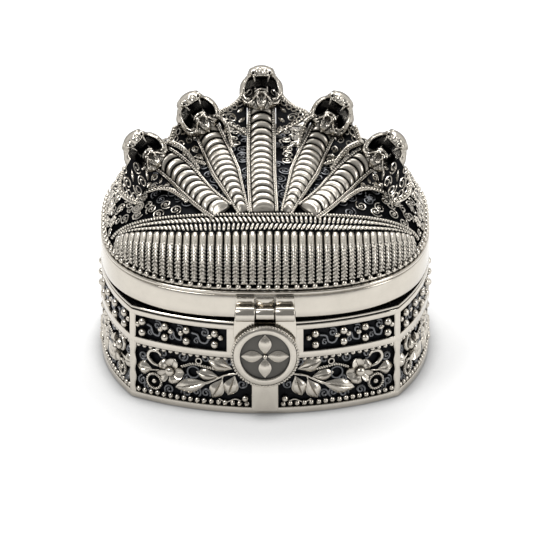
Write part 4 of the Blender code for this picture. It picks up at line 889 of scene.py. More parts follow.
def dome_front(x, z):
    """y of the dome's front face over x at this height."""
    y = -DOME_HALF_Y
    for _ in range(4):
        rise = DOME_RISE + DOME_BACK_LIFT * y / DOME_HALF_Y
        share = math.sqrt(1 - ((z - DOME_FOOT) / rise) ** 2)
        left = max(0.0, share**LID_ROUNDNESS - abs(x / DOME_HALF_X) ** LID_ROUNDNESS)
        y = -DOME_HALF_Y * left ** (1 / LID_ROUNDNESS)
    return y


def rib_top_y(x):
    return -32.7 + 12.7 * abs(x / BOLSTER_END) ** 3.1


def border_y(x):
    return -27.3 + 9.3 * abs(x / BORDER_END) ** 2.6


def front_columns(count, end=BOLSTER_END):
    """x of places across the bolster, evenly spaced along the dome's foot."""
    xs = np.linspace(-end, end, 401)
    ys = np.array([dome_front(x, DOME_FOOT) for x in xs])
    run = np.concatenate(([0.0], np.cumsum(np.hypot(np.diff(xs), np.diff(ys)))))
    return np.interp(np.linspace(0.0, run[-1], count), run, xs)


def rib_point(x, share, lift):
    low = DOME_FOOT + RIB_FOOT
    high = dome_height(x, rib_top_y(x))
    return on_dome(x, dome_front(x, low + (high - low) * share), lift)


def sweep(form, section):
    form.skin([lid_outline(inset, z) for inset, z in section], ring=True)


def make_band():
    form = Form()
    low, high = BAND_LOW, BAND_TOP
    sweep(form, (
        (1.2, low), (0.45, low), (0.2, low + 0.12), (0.08, low + 0.4), (0.06, low + 2.0),
        (0.1, low + 4.5), (0.16, high - 1.35), (0.24, high - 1.2), (0.45, high - 1.1),
        (0.45, high - 0.95), (0.12, high - 0.85), (0.0, high - 0.6), (0.0, high - 0.3),
        (0.12, high - 0.08), (0.35, high), (1.2, high),
    ))
    form.piece("polished_band", POLISHED, "lid", ["lid_band"], sharp=50)
    deck = Form()
    sweep(deck, ((1.5, high - 0.02), (1.5, high - 1.0), (DECK_REACH, high - 1.0), (DECK_REACH, high)))
    deck.piece("rim_ledge", SATIN, "lid", ["lid_deck"], sharp=50)
    ring = Form()
    low, high = FLANGE_TOP + GAP, FLANGE_TOP + GAP + 3.6
    sweep(ring, (
        (1.85, low), (1.7, low + 0.15), (1.7, high - 0.25), (1.95, high), (2.45, high), (2.7, high - 0.25),
        (2.7, low),
    ))
    # The seat ring takes the near-black oxidised silver so that the gap under the band shows dark: painted
    # shade.
    ring.piece("mouth_ring", OXIDISED, "box", ["lid_seat_ring"], sharp=50)
    beads = Form()
    outline = np.array(lid_outline(0.85, DOME_FOOT + 0.8, 2000))
    outline = np.vstack([outline, outline[:1]])
    run = run_along(outline)
    count = round(run[-1] / RIM_BEAD_PITCH)
    for i in range(count):
        at = run[-1] * i / count + JITTER.normal(0.0, 0.2)
        beads.ball(point_at(run, outline, at % run[-1]), [RIM_BEAD_RADIUS] * 3, level=3)
    wire = np.array(lid_outline(0.95, DOME_FOOT + 0.2, 200))
    beads.tube(wire, np.tile((0.0, 0.0, 1.0), (len(wire), 1)), 0.3, closed=True)
    beads.piece("rim_beads", CARVED, "lid", ["bead_wire"])


def dome_shell(name, material, leans, first, second, replaces=()):
    """A closed sheet between two lifts off the dome, over these leans from its top."""
    form = Form()
    rows = [
        [dome_at(2 * math.pi * i / 120, lean, lift) for i in range(120)]
        for lift, part in ((first, leans), (second, leans[::-1])) for lean in part
    ]
    form.skin(rows, tips=(dome_at(0.0, 0.0, first), dome_at(0.0, 0.0, second)))
    form.piece(name, material, "lid", replaces)


def make_dome():
    """The dark sheet under the wirework, and the lining under that."""
    leans = [0.02] + [math.pi / 2 * i / 22 for i in range(1, 23)]
    dome_shell("dome_sheet", OXIDISED, leans, 0.0, -DOME_THICKNESS, ["lid_dome"])
    dome_shell("dome_lining", SATIN, leans[:-1], -DOME_THICKNESS - GAP, -DOME_THICKNESS - 0.05)


def next_ring(lean, step):
    """The lean of the ring that lies this far up the dome from the ring at a lean."""
    return lean - step / math.hypot(DOME_HALF_X * math.cos(lean), DOME_RISE * math.sin(lean))


def motif_places():
    """Plan places of the dome's motifs: rings at even steps from its foot up to its middle."""
    places = []
    lean, step = math.pi / 2, 0.7 * MOTIF_PITCH
    while True:
        lean, step = next_ring(lean, step), MOTIF_PITCH
        if lean < 0.1:
            return places
        turns = np.linspace(0.0, 2 * math.pi, 145)
        ring = np.array([lid_edge(turn, DOME_INSET, 0.0)[:2] for turn in turns]) * math.sin(lean)
        run = run_along(ring)
        count = max(4, round(run[-1] / MOTIF_PITCH))
        for i in range(count):
            turn = np.interp(run[-1] * (i + 0.5) / count, run, turns)
            x, y, _ = lid_edge(turn, DOME_INSET, 0.0)
            places.append((x * math.sin(lean), y * math.sin(lean)))


def cobra_spots(necks):
    """Plan places of the necks, and of the low parts of the hoods, each with its reach."""
    bodies, hoods = [], []
    for name, neck in necks.items():
        cobra, sign = COBRAS[name]
        for share in np.linspace(0.0, 1.0, 25):
            at = neck.at(share)
            bodies.append((at.x, at.y, neck.half_width(min(share, 0.9)) + GAP))
        for way, cup, outline in zip((1, -1), cobra["cups"], cobra["wings"]):
            for share, reach in outline:
                origin, _, across, out = neck.frame(share)
                start = neck.half_width(share) + WING_SEAT
                for i in range(4):
                    beyond = max(0.4, reach - start) * i / 3
                    point = origin + across * way * sign * (start + beyond) + out * (0.5 + beyond * cup)
                    if point.z < dome_height(point.x, point.y) + 2.55:
                        hoods.append((point.x, point.y, 1.0))
    return np.array(bodies), np.array(hoods)


def meets(x, y, spots, margin):
    return bool(np.any(np.hypot(spots[:, 0] - x, spots[:, 1] - y) < spots[:, 2] + margin))


def behind_border(x, y, margin):
    """Whether a plan place lies on the dome clear of the ribs, the braid and the rope."""
    return y > border_y(min(BORDER_END, abs(x))) + margin or abs(x) > BORDER_END + margin


def lay_bead_flower(form, surface):
    for k in range(6):
        angle = k * math.pi / 3
        place = (1.12 * math.cos(angle), 1.12 * math.sin(angle))
        lay_ball(form, surface, place, 0.4, 0.6, 2, flat=0.75, stretch=1.15, turn=angle)
    lay_ball(form, surface, (0.0, 0.0), 0.6, 0.52, 2)


def lay_motifs(relief, wires, cobras):
    """Bead flowers and double spirals clear of the cobras, each with small scrolls round it; its places."""
    taken = []
    for i, (x, y) in enumerate(motif_places()):
        if not behind_border(x, y, MOTIF_RADIUS + 2 * ROPE_RADIUS) or meets(x, y, cobras, MOTIF_RADIUS + 0.6):
            continue
        taken.append((x, y, MOTIF_RADIUS))
        lean = math.asin(lid_size(x, y, DOME_INSET))
        surface = dome_patch(math.atan2(y, x), lean, JITTER.uniform(-0.5, 0.5))
        if i % 3 == 1:
            lay_bead_flower(relief, surface)
        else:
            for radius, turns in ((2.3, 1.9), (1.75, 1.5)):
                lay_wire(wires, surface, scroll((0.0, 0.0), radius, turns, 0.6 + i, 1, 0.3), 0.5, WIRE_RADIUS)
            lay_ball(relief, surface, (0.0, 0.0), 0.4, 0.42)
        for k in range(4):
            angle = k * math.pi / 2 + 0.35
            centre = (3.25 * math.cos(angle), 3.25 * math.sin(angle))
            at = surface(*centre, 0.0)
            if meets(at.x, at.y, cobras, 0.8) or not behind_border(at.x, at.y, 2.0):
                continue
            hand = 1 if k % 2 else -1
            lay_wire(wires, surface, scroll(centre, 1.4, 1.2, angle + 2.0, hand, 0.35), 0.4, WIRE_RADIUS, 5)
            if k % 2 and i % 3 == 0:
                tip = (4.6 * math.cos(angle + 0.5), 4.6 * math.sin(angle + 0.5))
                root = (2.7 * math.cos(angle + 0.7), 2.7 * math.sin(angle + 0.7))
                lay_leaf(relief, surface, tip, root, 1.3, 0.5, 0.2, steps=7)
    return np.array(taken)


def lay_curls(bright, darkened, bodies, cobras, taken):
    """Curls in the room that the motifs leave, in the darker wire silver where they lie in a cobra's shade:
    painted shade.
    """
    lean = math.pi / 2 - 0.08
    hand = 1
    while lean > 0.12:
        ring = [dome_at(2 * math.pi * i / 60, lean) for i in range(61)]
        count = round(sum((b - a).length for a, b in zip(ring, ring[1:])) / CURL_PITCH)
        for i in range(count):
            turn = 2 * math.pi * (i + JITTER.uniform(-0.2, 0.2)) / count
            at = dome_at(turn, lean)
            hand = -hand
            filled = meets(at.x, at.y, bodies, -1.0) or meets(at.x, at.y, taken, 0.3)
            if filled or not behind_border(at.x, at.y, 1.9):
                continue
            surface = dome_patch(turn, lean, JITTER.uniform(-1.5, 1.5))
            # Curls near a cobra go to the darker wire silver: painted shade.
            form = darkened if meets(at.x, at.y, cobras, 2.0) else bright
            lay_wire(form, surface, scroll((0.0, 0.0), 1.9, 1.5, 0.0, hand, 0.25), 0.36, WIRE_RADIUS, 5)
            lay_ball(form, surface, (0.0, 0.0), 0.25, 0.34, 1)
        lean = next_ring(lean, CURL_PITCH)


def make_filigree(necks):
    relief, wires, darkened = Form(), Form(), Form()
    bodies, hoods = cobra_spots(necks)
    cobras = np.vstack([bodies, hoods])
    taken = lay_motifs(relief, wires, cobras)
    lay_curls(wires, darkened, bodies, cobras, taken)
    relief.piece("dome_flowers", CARVED, "lid")
    wires.piece("dome_scrolls", WIREWORK, "lid")
    darkened.piece("dome_curls", PAINTED_SHADE_WIRE, "lid")


def make_ropes():
    """The ropes along the dome's foot, round the back, and along the braid."""
    ropes = Form()
    foot = [(math.radians(turn), math.pi / 2 - 0.045) for turn in np.linspace(-38.0, 218.0, 221)]
    ropes.cord(*on(dome_at, foot, FOOT_ROPE_RADIUS), FOOT_ROPE_RADIUS, ROPE_PITCH)
    border = [(x, border_y(x)) for x in front_columns(80, BORDER_END)]
    ropes.cord(*on(on_dome, border, ROPE_RADIUS + GAP), ROPE_RADIUS, ROPE_PITCH)
    ropes.piece("border_rope", CARVED, "lid", ["rope_border"])


def make_bolster():
    """Upright ribs over the dome's front, each with a chain of slanted links up its crest."""
    ribs, chain = Form(), Form()
    for x in front_columns(2 * RIB_COUNT + 1)[1::2]:
        path, normals, width = [], [], []
        for share in np.linspace(0.0, 1.0, 15):
            swell = 0.55 + 0.45 * math.sin(math.pi * (0.15 + 0.7 * share))
            at = rib_point(x, share, 0.0)
            normal = dome_normal(at.x, at.y)
            path.append(at + normal * max(0.25, GAP + RIB_LIFT * swell - RIB_RADIUS))
            normals.append(normal)
            width.append(RIB_RADIUS * (1.0 if share > 0.7 else 0.8) * (0.9 if share < 0.08 else 1.0))
        path, normals = np.array(path), np.array(normals)
        ribs.tube(path, normals, width, 12)
        run = run_along(path)
        ways = side_ways(path, normals)
        links = round(CHAIN_SHARE * run[-1] / LINK_PITCH)
        for i in range(links):
            at = CHAIN_SHARE * run[-1] * (i + 0.4) / links
            here, way, side, out = (point_at(run, data, at) for data in (path, *ways))
            for hand in (-1, 1):
                slant = unit(way * 0.62 - side * hand * 0.78)
                top = unit(out + side * hand * 0.55)
                top = unit(top - slant * np.dot(top, slant))
                centre = here + out * 0.72 + side * hand * 0.46
                chain.ball(centre, (0.64, 0.3, 0.3), (slant, np.cross(top, slant), top))
    ribs.piece("bolster_ribs", CARVED, "lid", ["rib_bolster"])
    # The chain links take the darker copy of the silver: painted shade.
    chain.piece("bolster_chain", CHAIN_SHADE, "lid")


def make_braid():
    """Slanted loops in two rows, which lean away from the middle, over a dark strip."""
    braid, backing = Form(), Form()
    base = []
    for i, x in enumerate(front_columns(BRAID_COLUMNS, BRAID_END)):
        low, high = rib_top_y(x) + 0.5, border_y(x) - 0.6
        lean = math.copysign(min(1.0, abs(x) / 30.0), x)
        row = i % 2
        y = low + (high - low) * (0.76 if row else 0.27)
        turn = math.pi / 2 - lean * 0.75 + (0.55 if row else -0.55) * (1 - abs(lean))
        size = max(0.45, (high - low) * 0.31)
        lay_ball(braid, on_dome, (x, y), 0.95, 0.44, 2, flat=0.9, stretch=size / 0.44, turn=turn)
        low, high = rib_top_y(x) + 0.3, border_y(x) - 0.4
        section = ((low, GAP), (high, GAP), (high, 0.55), ((low + high) / 2, 0.8), (low, 0.6))
        base.append([on_dome(x, y, lift) for y, lift in section])
    backing.skin(base)
    backing.piece("braid_ground", OXIDISED, "lid", ["braid_band"])
    braid.piece("braid_loops", CARVED, "lid")


# Cobras


def clear_of_dome(point, gap):
    if lid_size(point.x, point.y, DOME_INSET) < 0.999:
        lowest = dome_height(point.x, point.y) + gap / max(0.3, dome_normal(point.x, point.y).z)
        point.z = max(point.z, lowest)
    return point


class Neck:
    """A cobra's neck line, with the directions that its scutes and its hood follow."""

    def __init__(self, cobra, sign):
        points = []
        for place in cobra["path"]:
            x, y = place[0] * sign, place[1]
            points.append(Vector((x, y, place[2])) if len(place) > 2 else on_dome(x, y, NECK_SEAT))
        self.line, self.length = smooth_line(points)
        self.sign = sign
        self.lean = math.radians(cobra["lean"]) * sign
        self.foot_width = cobra["foot_width"]

    def at(self, share):
        last = len(self.line) - 1
        place = share * last
        k = min(last - 1, max(0, math.floor(place)))
        return self.line[k] + (self.line[k + 1] - self.line[k]) * (place - k)

    def frame(self, share):
        """Origin, way along, way across and way out of the belly."""
        origin = self.at(share)
        along = (self.at(share + 0.04) - self.at(share - 0.04)).normalized()
        gaze = Vector((math.sin(self.lean), -math.cos(self.lean) * 0.72, 0.85)).normalized()
        rise = min(1.0, max(0.0, (share - 0.35) / 0.45))
        out = dome_normal(origin.x, origin.y).lerp(gaze, rise * rise * (3 - 2 * rise))
        out = (out - along * out.dot(along)).normalized()
        return origin, along, along.cross(out).normalized(), out

    def half_width(self, share):
        grow = min(1.0, max(0.0, share) / 0.42)
        taper = 1 - 0.14 * max(0.0, share - 0.5) - 5.0 * max(0.0, share - 0.9)
        return NECK_HALF_WIDTH * (self.foot_width + (1 - self.foot_width) * grow) * taper

    def size(self, share):
        """Share of the full rise that the belly has there; it sinks away under the chin."""
        sunk = min(1.0, max(0.0, (share - 0.84) / 0.11))
        return (0.55 + 0.45 * self.half_width(share) / NECK_HALF_WIDTH) * (1 - 0.55 * sunk * sunk)


# Profile of one scute from its foot edge to its head edge, and the section across a neck
SCUTE_PROFILE = (
    (0.0, -1.05), (0.07, -0.7), (0.17, -0.2), (0.34, -0.02), (0.6, 0.03), (0.76, -0.06), (0.87, -0.4),
    (0.94, -0.9),
)
BELLY = (-0.77, -0.73, -0.64, -0.47, -0.25, 0.0, 0.25, 0.47, 0.64, 0.73, 0.77)
UNDERSIDE = ((0.86, 0.22), (0.8, 0.05), (0.45, -0.05), (-0.45, -0.05), (-0.8, 0.05), (-0.86, 0.22))
NECK_CORDS = ((0.885, 0.5, 0.37, True), (1.0, 0.34, 0.24, False))
NECK_FOOT = -0.012
NECK_END = 0.95


def make_neck(name, neck):
    scutes = round(neck.length / SCUTE_PITCH)
    belly, edges = Form(), Form()
    rows = []
    for i in range(scutes):
        for t, sink in SCUTE_PROFILE:
            share = NECK_FOOT + (NECK_END - NECK_FOOT) * (i + t) / scutes
            origin, along, across, out = neck.frame(share)
            half = neck.half_width(share)
            size = neck.size(share)
            loop = []
            for x in BELLY:
                arch = SCUTE_ARCH * (1 - (x / 0.8) ** 2) * min(1.0, (1 - share) * scutes / 2)
                bulge = max(0.0, 1 - abs(x / 0.79) ** 2.6) ** 0.5
                rise = NECK_RISE * size * (0.45 + 0.55 * bulge) + sink * size
                point = origin + across * x * half + out * rise + along * arch
                loop.append(clear_of_dome(point, NECK_SEAT + 0.6 * rise))
            for x, h in UNDERSIDE:
                rise = NECK_RISE * size * h
                point = origin + across * x * half + out * rise
                loop.append(clear_of_dome(point, NECK_SEAT + 0.6 * max(0.0, rise)))
            rows.append(loop)
    belly.skin(rows)
    belly.piece(name + "_cobra_scutes", SCALED, "lid", [name + "_cobra_neck"], sharp=75)
    for hand in (-1, 1):
        for x, h, radius, beaded in NECK_CORDS:
            path, normals = [], []
            for k in range(61):
                share = NECK_FOOT + (NECK_END - NECK_FOOT) * k / 60
                origin, _, across, out = neck.frame(share)
                half = neck.half_width(min(0.93, share))
                point = origin + across * hand * x * half + out * NECK_RISE * h * neck.size(share)
                path.append(clear_of_dome(point, NECK_SEAT + 0.8))
                normals.append(out)
            path, normals = np.array(path), np.array(normals)
            if beaded:
                for place in resample(path, normals, 0.74)[0]:
                    edges.ball(place, [radius] * 3)
            else:
                edges.tube(path, normals, radius)
    edges.piece(name + "_cobra_neck_cords", CARVED, "lid")


class Wing:
    """Half of a hood. Its coordinates are mm along the neck and mm outwards from the neck."""

    def __init__(self, neck, way, cup, outline):
        self.neck, self.way, self.cup = neck, way, cup
        line, _ = smooth_line([Vector((share * neck.length, reach, 0.0)) for share, reach in outline], 60)
        self.rim = [(point.x, point.y) for point in line]
        self.slope = math.hypot(1.0, cup)

    def reach(self, a):
        """Width of the wing beyond the neck at this place along it."""
        found = [b for (x0, b), (x1, _) in zip(self.rim, self.rim[1:]) if min(x0, x1) <= a <= max(x0, x1)]
        if not found:
            return 0.0
        return (max(found) - self.neck.half_width(a / self.neck.length) - WING_SEAT) * self.slope

    def seat(self, a):
        """How far out the wing begins; past the chin it draws out to the cheek."""
        last, far = self.rim[-1]
        first = CHIN_SHARE * self.neck.length
        if a <= first or last <= first:
            return 0.0
        far -= NECK_HALF_WIDTH + WING_SEAT
        return max(0.0, far - 1.0) * self.slope * min(1.0, (a - first) / (last - first))

    def __call__(self, a, b, lift=0.0):
        share = a / self.neck.length
        origin, _, across, out = self.neck.frame(share)
        start = self.neck.half_width(share) + WING_SEAT
        beyond = b / self.slope
        point = origin + across * self.way * (start + beyond) + out * (0.5 + beyond * self.cup)
        normal = (out - across * self.way * self.cup).normalized()
        return clear_of_dome(point + normal * lift, GAP + 0.45)

    def edge(self, inset):
        """The wing's outline, this far in from its rim."""
        made = []
        for a, b in self.rim:
            start = self.neck.half_width(a / self.neck.length) + WING_SEAT
            made.append((a, max(0.25, (b - start) * self.slope - inset)))
        return made


def fill_wing(work, wing, low, high):
    """A chain of rings along the rim, with scrolls, drops and bent loops inside it."""
    chain = np.array([(a, b, 0.0) for a, b in wing.edge(1.95)])
    places, _ = resample(chain, np.ones_like(chain), RING_PITCH)
    for a, b, _ in places:
        if wing.reach(a) - wing.seat(a) > 2.4:
            lay_wire(work, wing, scroll((a, b), 0.75, 1.0, 0.0, 1, 1.0), 0.25, 0.2, 5)
    for i in range(int((high - low) / SCROLL_PITCH) + 1):
        a = low + SCROLL_PITCH * (i + 0.5)
        room, seat = wing.reach(a) - 2.9, wing.seat(a)
        if room - seat < 1.3:
            continue
        count = max(1, round((room - seat) / SCROLL_PITCH))
        for j in range(count):
            b = room - (j + 0.5) * (room - seat) / count
            if (i + j) % 3 == 2:
                lay_leaf(work, wing, (a - 1.1, b + 1.0), (a + 0.9, b - 1.0), 1.25, 0.55, 0.2, steps=7)
                continue
            radius = min(1.6, 0.5 * (room - seat) / count)
            lay_wire(work, wing, scroll((a, b), radius, 1.4, 1.1 * i + j, (-1) ** (i + j), 0.3), 0.2, 0.2, 5)


def make_wing(name, wing, node):
    sheet, rim, work = Form(), Form(), Form()
    rows = []
    for a, b in wing.edge(0.35):
        seat = min(b - 0.2, wing.seat(a))
        front = [wing(a, seat + (b - seat) * j / 8, 0.16) for j in range(9)]
        back = [wing(a, seat + (b - seat) * j / 8, -0.16) for j in range(8, -1, -1)]
        rows.append(front + back)
    sheet.skin(rows)
    sheet.piece(name + "_ground", OXIDISED, "lid", [node])
    rim.cord(*on(wing, wing.edge(0.3), 0.2), 0.52, 0.82)
    lay_wire(rim, wing, wing.edge(-0.2), 0.0, 0.3)
    rim.piece(name + "_rim", CARVED, "lid")
    lay_wire(work, wing, wing.edge(1.0), 0.2, WIRE_RADIUS, 5)
    low, high = min(a for a, _ in wing.rim), max(a for a, _ in wing.rim)
    if wing.cup > 1.0:
        middle = 0.5 * (low + high)
        hook = scroll((middle, 0.5 * wing.reach(middle)), 1.0, 1.2, 0.4, wing.way, 0.35)
        lay_wire(work, wing, hook, 0.22, 0.24, 5)
    else:
        fill_wing(work, wing, low, high)
    work.piece(name + "_wirework", WIREWORK, "lid")


# Heads, carved from a field of distances to their surface


FIELD_STEP = 0.2
FIELD_LOW = np.array((-7.4, -6.4, -8.0))
FIELD_SIZE = (75, 72, 76)


def field_points():
    axes = [FIELD_LOW[k] + FIELD_STEP * np.arange(FIELD_SIZE[k]) for k in range(3)]
    return np.stack(np.meshgrid(*axes, indexing="ij"), axis=-1)


def egg(points, centre, radii):
    """Distance to an ellipsoid, near enough."""
    local = (points - np.array(centre)) / np.array(radii)
    size = np.linalg.norm(local, axis=-1)
    return (size - 1.0) * min(radii)


def thread(points, line, radius):
    """Distance to a tube along a line; the radius may change from point to point."""
    line = np.asarray(line, float)
    radius = np.broadcast_to(np.asarray(radius, float), (len(line),))
    best = np.full(points.shape[:-1], 1e3)
    for a, b, ra, rb in zip(line, line[1:], radius, radius[1:]):
        lowest = np.minimum(a, b) - 1.6
        highest = np.maximum(a, b) + 1.6
        lo = np.clip(((lowest - FIELD_LOW) / FIELD_STEP).astype(int), 0, None)
        hi = np.minimum(((highest - FIELD_LOW) / FIELD_STEP).astype(int) + 2, FIELD_SIZE)
        part = tuple(slice(x, y) for x, y in zip(lo, hi))
        local = points[part]
        if not local.size:
            continue
        run = b - a
        share = np.clip(((local - a) @ run) / max(1e-9, run @ run), 0.0, 1.0)
        gap = np.linalg.norm(local - (a + share[..., None] * run), axis=-1) - (ra + (rb - ra) * share)
        best[part] = np.minimum(best[part], gap)
    return best


def blend(a, b, soft):
    """Union with a fillet of about this size."""
    mixed = np.clip(0.5 + 0.5 * (b - a) / soft, 0.0, 1.0)
    return b + (a - b) * mixed - soft * mixed * (1 - mixed)


def carve(a, b, soft):
    return -blend(-a, b, soft)


def front_of(field, x, z):
    """The foremost y of a field's solid over a point."""
    i = int(round((x - FIELD_LOW[0]) / FIELD_STEP))
    k = int(round((z - FIELD_LOW[2]) / FIELD_STEP))
    column = field[i, :, k]
    inside = np.nonzero(column < 0)[0]
    if not len(inside):
        return 0.0
    j = inside[-1]
    share = column[j] / (column[j] - column[min(j + 1, FIELD_SIZE[1] - 1)] + 1e-9)
    return FIELD_LOW[1] + FIELD_STEP * (j + share)


def surface_mesh(field):
    """A mesh of quads over the field's zero surface."""
    inside = field < 0
    n = np.array(field.shape)
    total = np.zeros((*(n - 1), 3))
    hits = np.zeros(tuple(n - 1))
    grid = np.stack(np.meshgrid(*[np.arange(k) for k in n], indexing="ij"), axis=-1).astype(float)
    for axis in range(3):
        a = [slice(None)] * 3
        b = [slice(None)] * 3
        a[axis], b[axis] = slice(0, -1), slice(1, None)
        fa, fb = field[tuple(a)], field[tuple(b)]
        crossed = (fa < 0) != (fb < 0)
        share = np.where(crossed, fa / np.where(crossed, fa - fb, 1.0), 0.0)
        spot = grid[tuple(a)].copy()
        spot[..., axis] += share
        u, v = [k for k in range(3) if k != axis]
        for du in (0, 1):
            for dv in (0, 1):
                cut = [slice(None)] * 3
                cut[u] = slice(du, du + n[u] - 1)
                cut[v] = slice(dv, dv + n[v] - 1)
                cut = tuple(cut)
                total += np.where(crossed[cut][..., None], spot[cut], 0.0)
                hits += crossed[cut]
    live = hits > 0
    index = np.full(live.shape, -1)
    index[live] = np.arange(live.sum())
    points = total[live] / hits[live][:, None] * FIELD_STEP + FIELD_LOW
    quads = []
    for axis in range(3):
        u, v = [k for k in range(3) if k != axis]
        a = [slice(1, -1)] * 3
        b = [slice(1, -1)] * 3
        a[axis], b[axis] = slice(0, -1), slice(1, None)
        crossed = np.argwhere(inside[tuple(a)] != inside[tuple(b)])
        crossed[:, u] += 1
        crossed[:, v] += 1
        corner = []
        for du, dv in ((0, 0), (1, 0), (1, 1), (0, 1)):
            cell = crossed.copy()
            cell[:, u] -= du
            cell[:, v] -= dv
            corner.append(index[cell[:, 0], cell[:, 1], cell[:, 2]])
        quads.append(np.stack(corner, axis=1))
    form = Form()
    form.add(points, np.concatenate(quads))
    return form


def head_blank(p):
    """The head before its mouth is cut, with marks of scales on its crown and back."""
    blank = egg(p, (0.0, -0.5, 1.25), (4.2, 3.9, 3.75))
    blank = blend(blank, egg(p, (0.0, 1.7, 3.4), (3.5, 3.3, 2.3)), 0.8)
    blank = blend(blank, egg(p, (0.0, -2.0, -2.0), (4.5, 2.4, 3.9)), 0.8)
    for hand in (-1, 1):
        blank = blend(blank, egg(p, (hand * 4.45, -0.2, -1.5), (1.5, 3.2, 3.2)), 1.0)
        blank = blend(blank, egg(p, (hand * 3.4, 0.7, -4.2), (2.2, 2.6, 1.7)), 0.8)
    blank = blend(blank, egg(p, (0.0, 2.0, -2.9), (2.2, 2.8, 2.0)), 0.5)
    blank = blend(blank, egg(p, (0.0, 0.7, -5.0), (3.7, 3.0, 1.9)), 0.8)
    x, y, z = p[..., 0], p[..., 1], p[..., 2]
    turn = np.arctan2(x, z + 1.0) * 6.0
    back = np.clip((1.0 - y) / 2.0, 0.0, 1.0)
    cells = np.abs(np.sin(turn * 1.2 + y * 1.7) * np.sin(turn * 1.2 - y * 1.7))
    return blank - 0.14 * back * np.sqrt(cells)


def mouth_space(p):
    """What is cut out of a head above, beside and behind its lower jaw."""
    mouth = np.minimum(*[egg(p, (hand * 1.1, 3.4, 0.95), (2.9, 7.2, 1.75)) for hand in (-1, 1)])
    for hand in (-1, 1):
        mouth = blend(mouth, egg(p, (hand * 3.5, 3.4, -0.8), (1.25, 6.6, 2.5)), 0.6)
    mouth = carve(mouth, egg(p, (0.0, 2.0, -2.9), (1.9, 6.5, 1.95)), 0.3)
    return np.maximum(mouth, -(p[..., 1] + 2.6 - 0.42 * np.abs(p[..., 0])))


# Lines over a head's front as x and z at one side, with a radius, how far each is sunk, and a fillet
UPPER_LIP = ((4.9, -2.6), (4.8, -0.8), (4.4, 0.7), (3.7, 2.0), (3.0, 2.65))
LIP_MIDDLE = ((1.5, 2.75), (0.0, 2.8), (-1.5, 2.75))
LOWER_LIP = ((0.0, -0.85), (0.9, -1.0), (1.65, -1.6), (2.4, -2.65), (3.3, -3.65), (4.15, -3.7), (4.75, -2.7))
GROOVES = (
    (((0.9, -1.85), (1.5, -2.45), (2.15, -3.45), (3.1, -4.25), (4.2, -4.1), (4.9, -3.3)), 0.34, -0.05, 0.12),
    (((1.75, -3.7), (1.9, -4.7), (1.5, -5.9)), (0.45, 0.7, 0.65), -0.1, 0.15),
    (((1.35, 2.9), (1.4, 3.6), (1.25, 4.2)), 0.24, -0.05, 0.1),
)
RIDGES = (
    (((0.9, -2.2), (1.7, -2.9), (2.5, -4.1), (3.5, -4.8), (4.6, -4.9)), 0.3, 0.05),
    (((1.9, -4.4), (2.4, -5.2), (3.2, -5.8)), 0.22, 0.05),
    (((1.15, -1.7), (1.1, -2.7), (0.95, -3.4)), 0.27, 0.5),
    (((0.62, -2.9), (0.5, -4.2), (0.12, -6.1)), 0.2, 1.1),
)
CHEEK = ((5.3, -3.4), (5.35, -1.9), (5.1, -0.4))
BROW = ((2.2, 2.8, 4.7), (2.9, 1.4, 4.4), (3.4, -0.4, 3.8))

# Fangs by root, tip, radius and how far the tip leans out
FANGS = (
    ((2.05, 2.6), (1.75, 1.0), 0.36, 0.2), ((1.55, -1.35), (1.75, -0.1), 0.27, 0.05),
    ((4.6, -2.7), (4.85, -1.0), 0.34, 0.05),
)


def head_form():
    p = field_points()
    blank = head_blank(p)
    head = carve(blank, mouth_space(p), 0.25)

    def on_front(line, hand=1, sunk=0.0):
        return [(hand * x, front_of(blank, hand * x, z) - sunk, z) for x, z in line]

    lip = on_front(UPPER_LIP + LIP_MIDDLE) + on_front(UPPER_LIP[::-1], -1)
    head = blend(head, thread(p, lip, 0.3), 0.2)
    for hand in (-1, 1):
        for line, radius, sunk, soft in GROOVES:
            head = carve(head, thread(p, on_front(line, hand, sunk), radius), soft)
    under_lip = front_of(blank, 0.0, -3.6)
    head = carve(head, egg(p, (0.0, under_lip + 0.7, -3.7), (1.95, 2.5, 2.0)), 0.25)
    lip = on_front(LOWER_LIP[::-1], -1) + on_front(LOWER_LIP[1:])
    head = blend(head, thread(p, lip, 0.34), 0.12)
    for line, radius, sunk in RIDGES:
        for hand in (-1, 1):
            head = blend(head, thread(p, on_front(line, hand, sunk), radius), 0.15)
    head = blend(head, egg(p, (0.0, front_of(blank, 0.0, -6.3) - 0.1, -6.4), (0.45, 0.5, 0.45)), 0.15)
    for hand in (-1, 1):
        bump = (hand * 2.35, front_of(blank, hand * 2.35, 3.6) - 0.35, 3.55)
        head = blend(head, egg(p, bump, (1.0, 0.95, 0.9)), 0.25)
        head = carve(head, egg(p, (hand * 2.25, bump[1] + 0.95, 3.35), (0.34, 0.9, 0.34)), 0.12)
        head = blend(head, thread(p, [(hand * x, y, z) for x, y, z in BROW], (0.25, 0.35, 0.25)), 0.5)
        head = blend(head, egg(p, (hand * 3.6, 0.9, 3.0), (0.4, 0.5, 0.4)), 0.2)
        head = blend(head, thread(p, on_front(CHEEK, hand, 0.3), 0.32), 0.3)
    nose = front_of(blank, 0.0, 4.0)
    head = blend(head, egg(p, (0.25, nose - 0.35, 3.7), (0.85, 0.8, 1.1)), 0.2)
    head = carve(head, egg(p, (-0.75, nose + 0.3, 4.35), (0.42, 0.9, 0.55)), 0.15)
    form = surface_mesh(head)
    for (root_x, root_z), (tip_x, tip_z), radius, ahead in FANGS:
        for hand in (-1, 1):
            y = front_of(blank, hand * root_x, root_z) - 0.15
            root, tip = np.array((hand * root_x, y, root_z)), np.array((hand * tip_x, y + ahead, tip_z))
            path = root + (tip - root) * np.linspace(0.0, 1.0, 6)[:, None]
            form.tube(path, np.tile((0.0, 1.0, 0.1), (6, 1)), radius * np.linspace(1.0, 0.12, 6), 8)
    return form


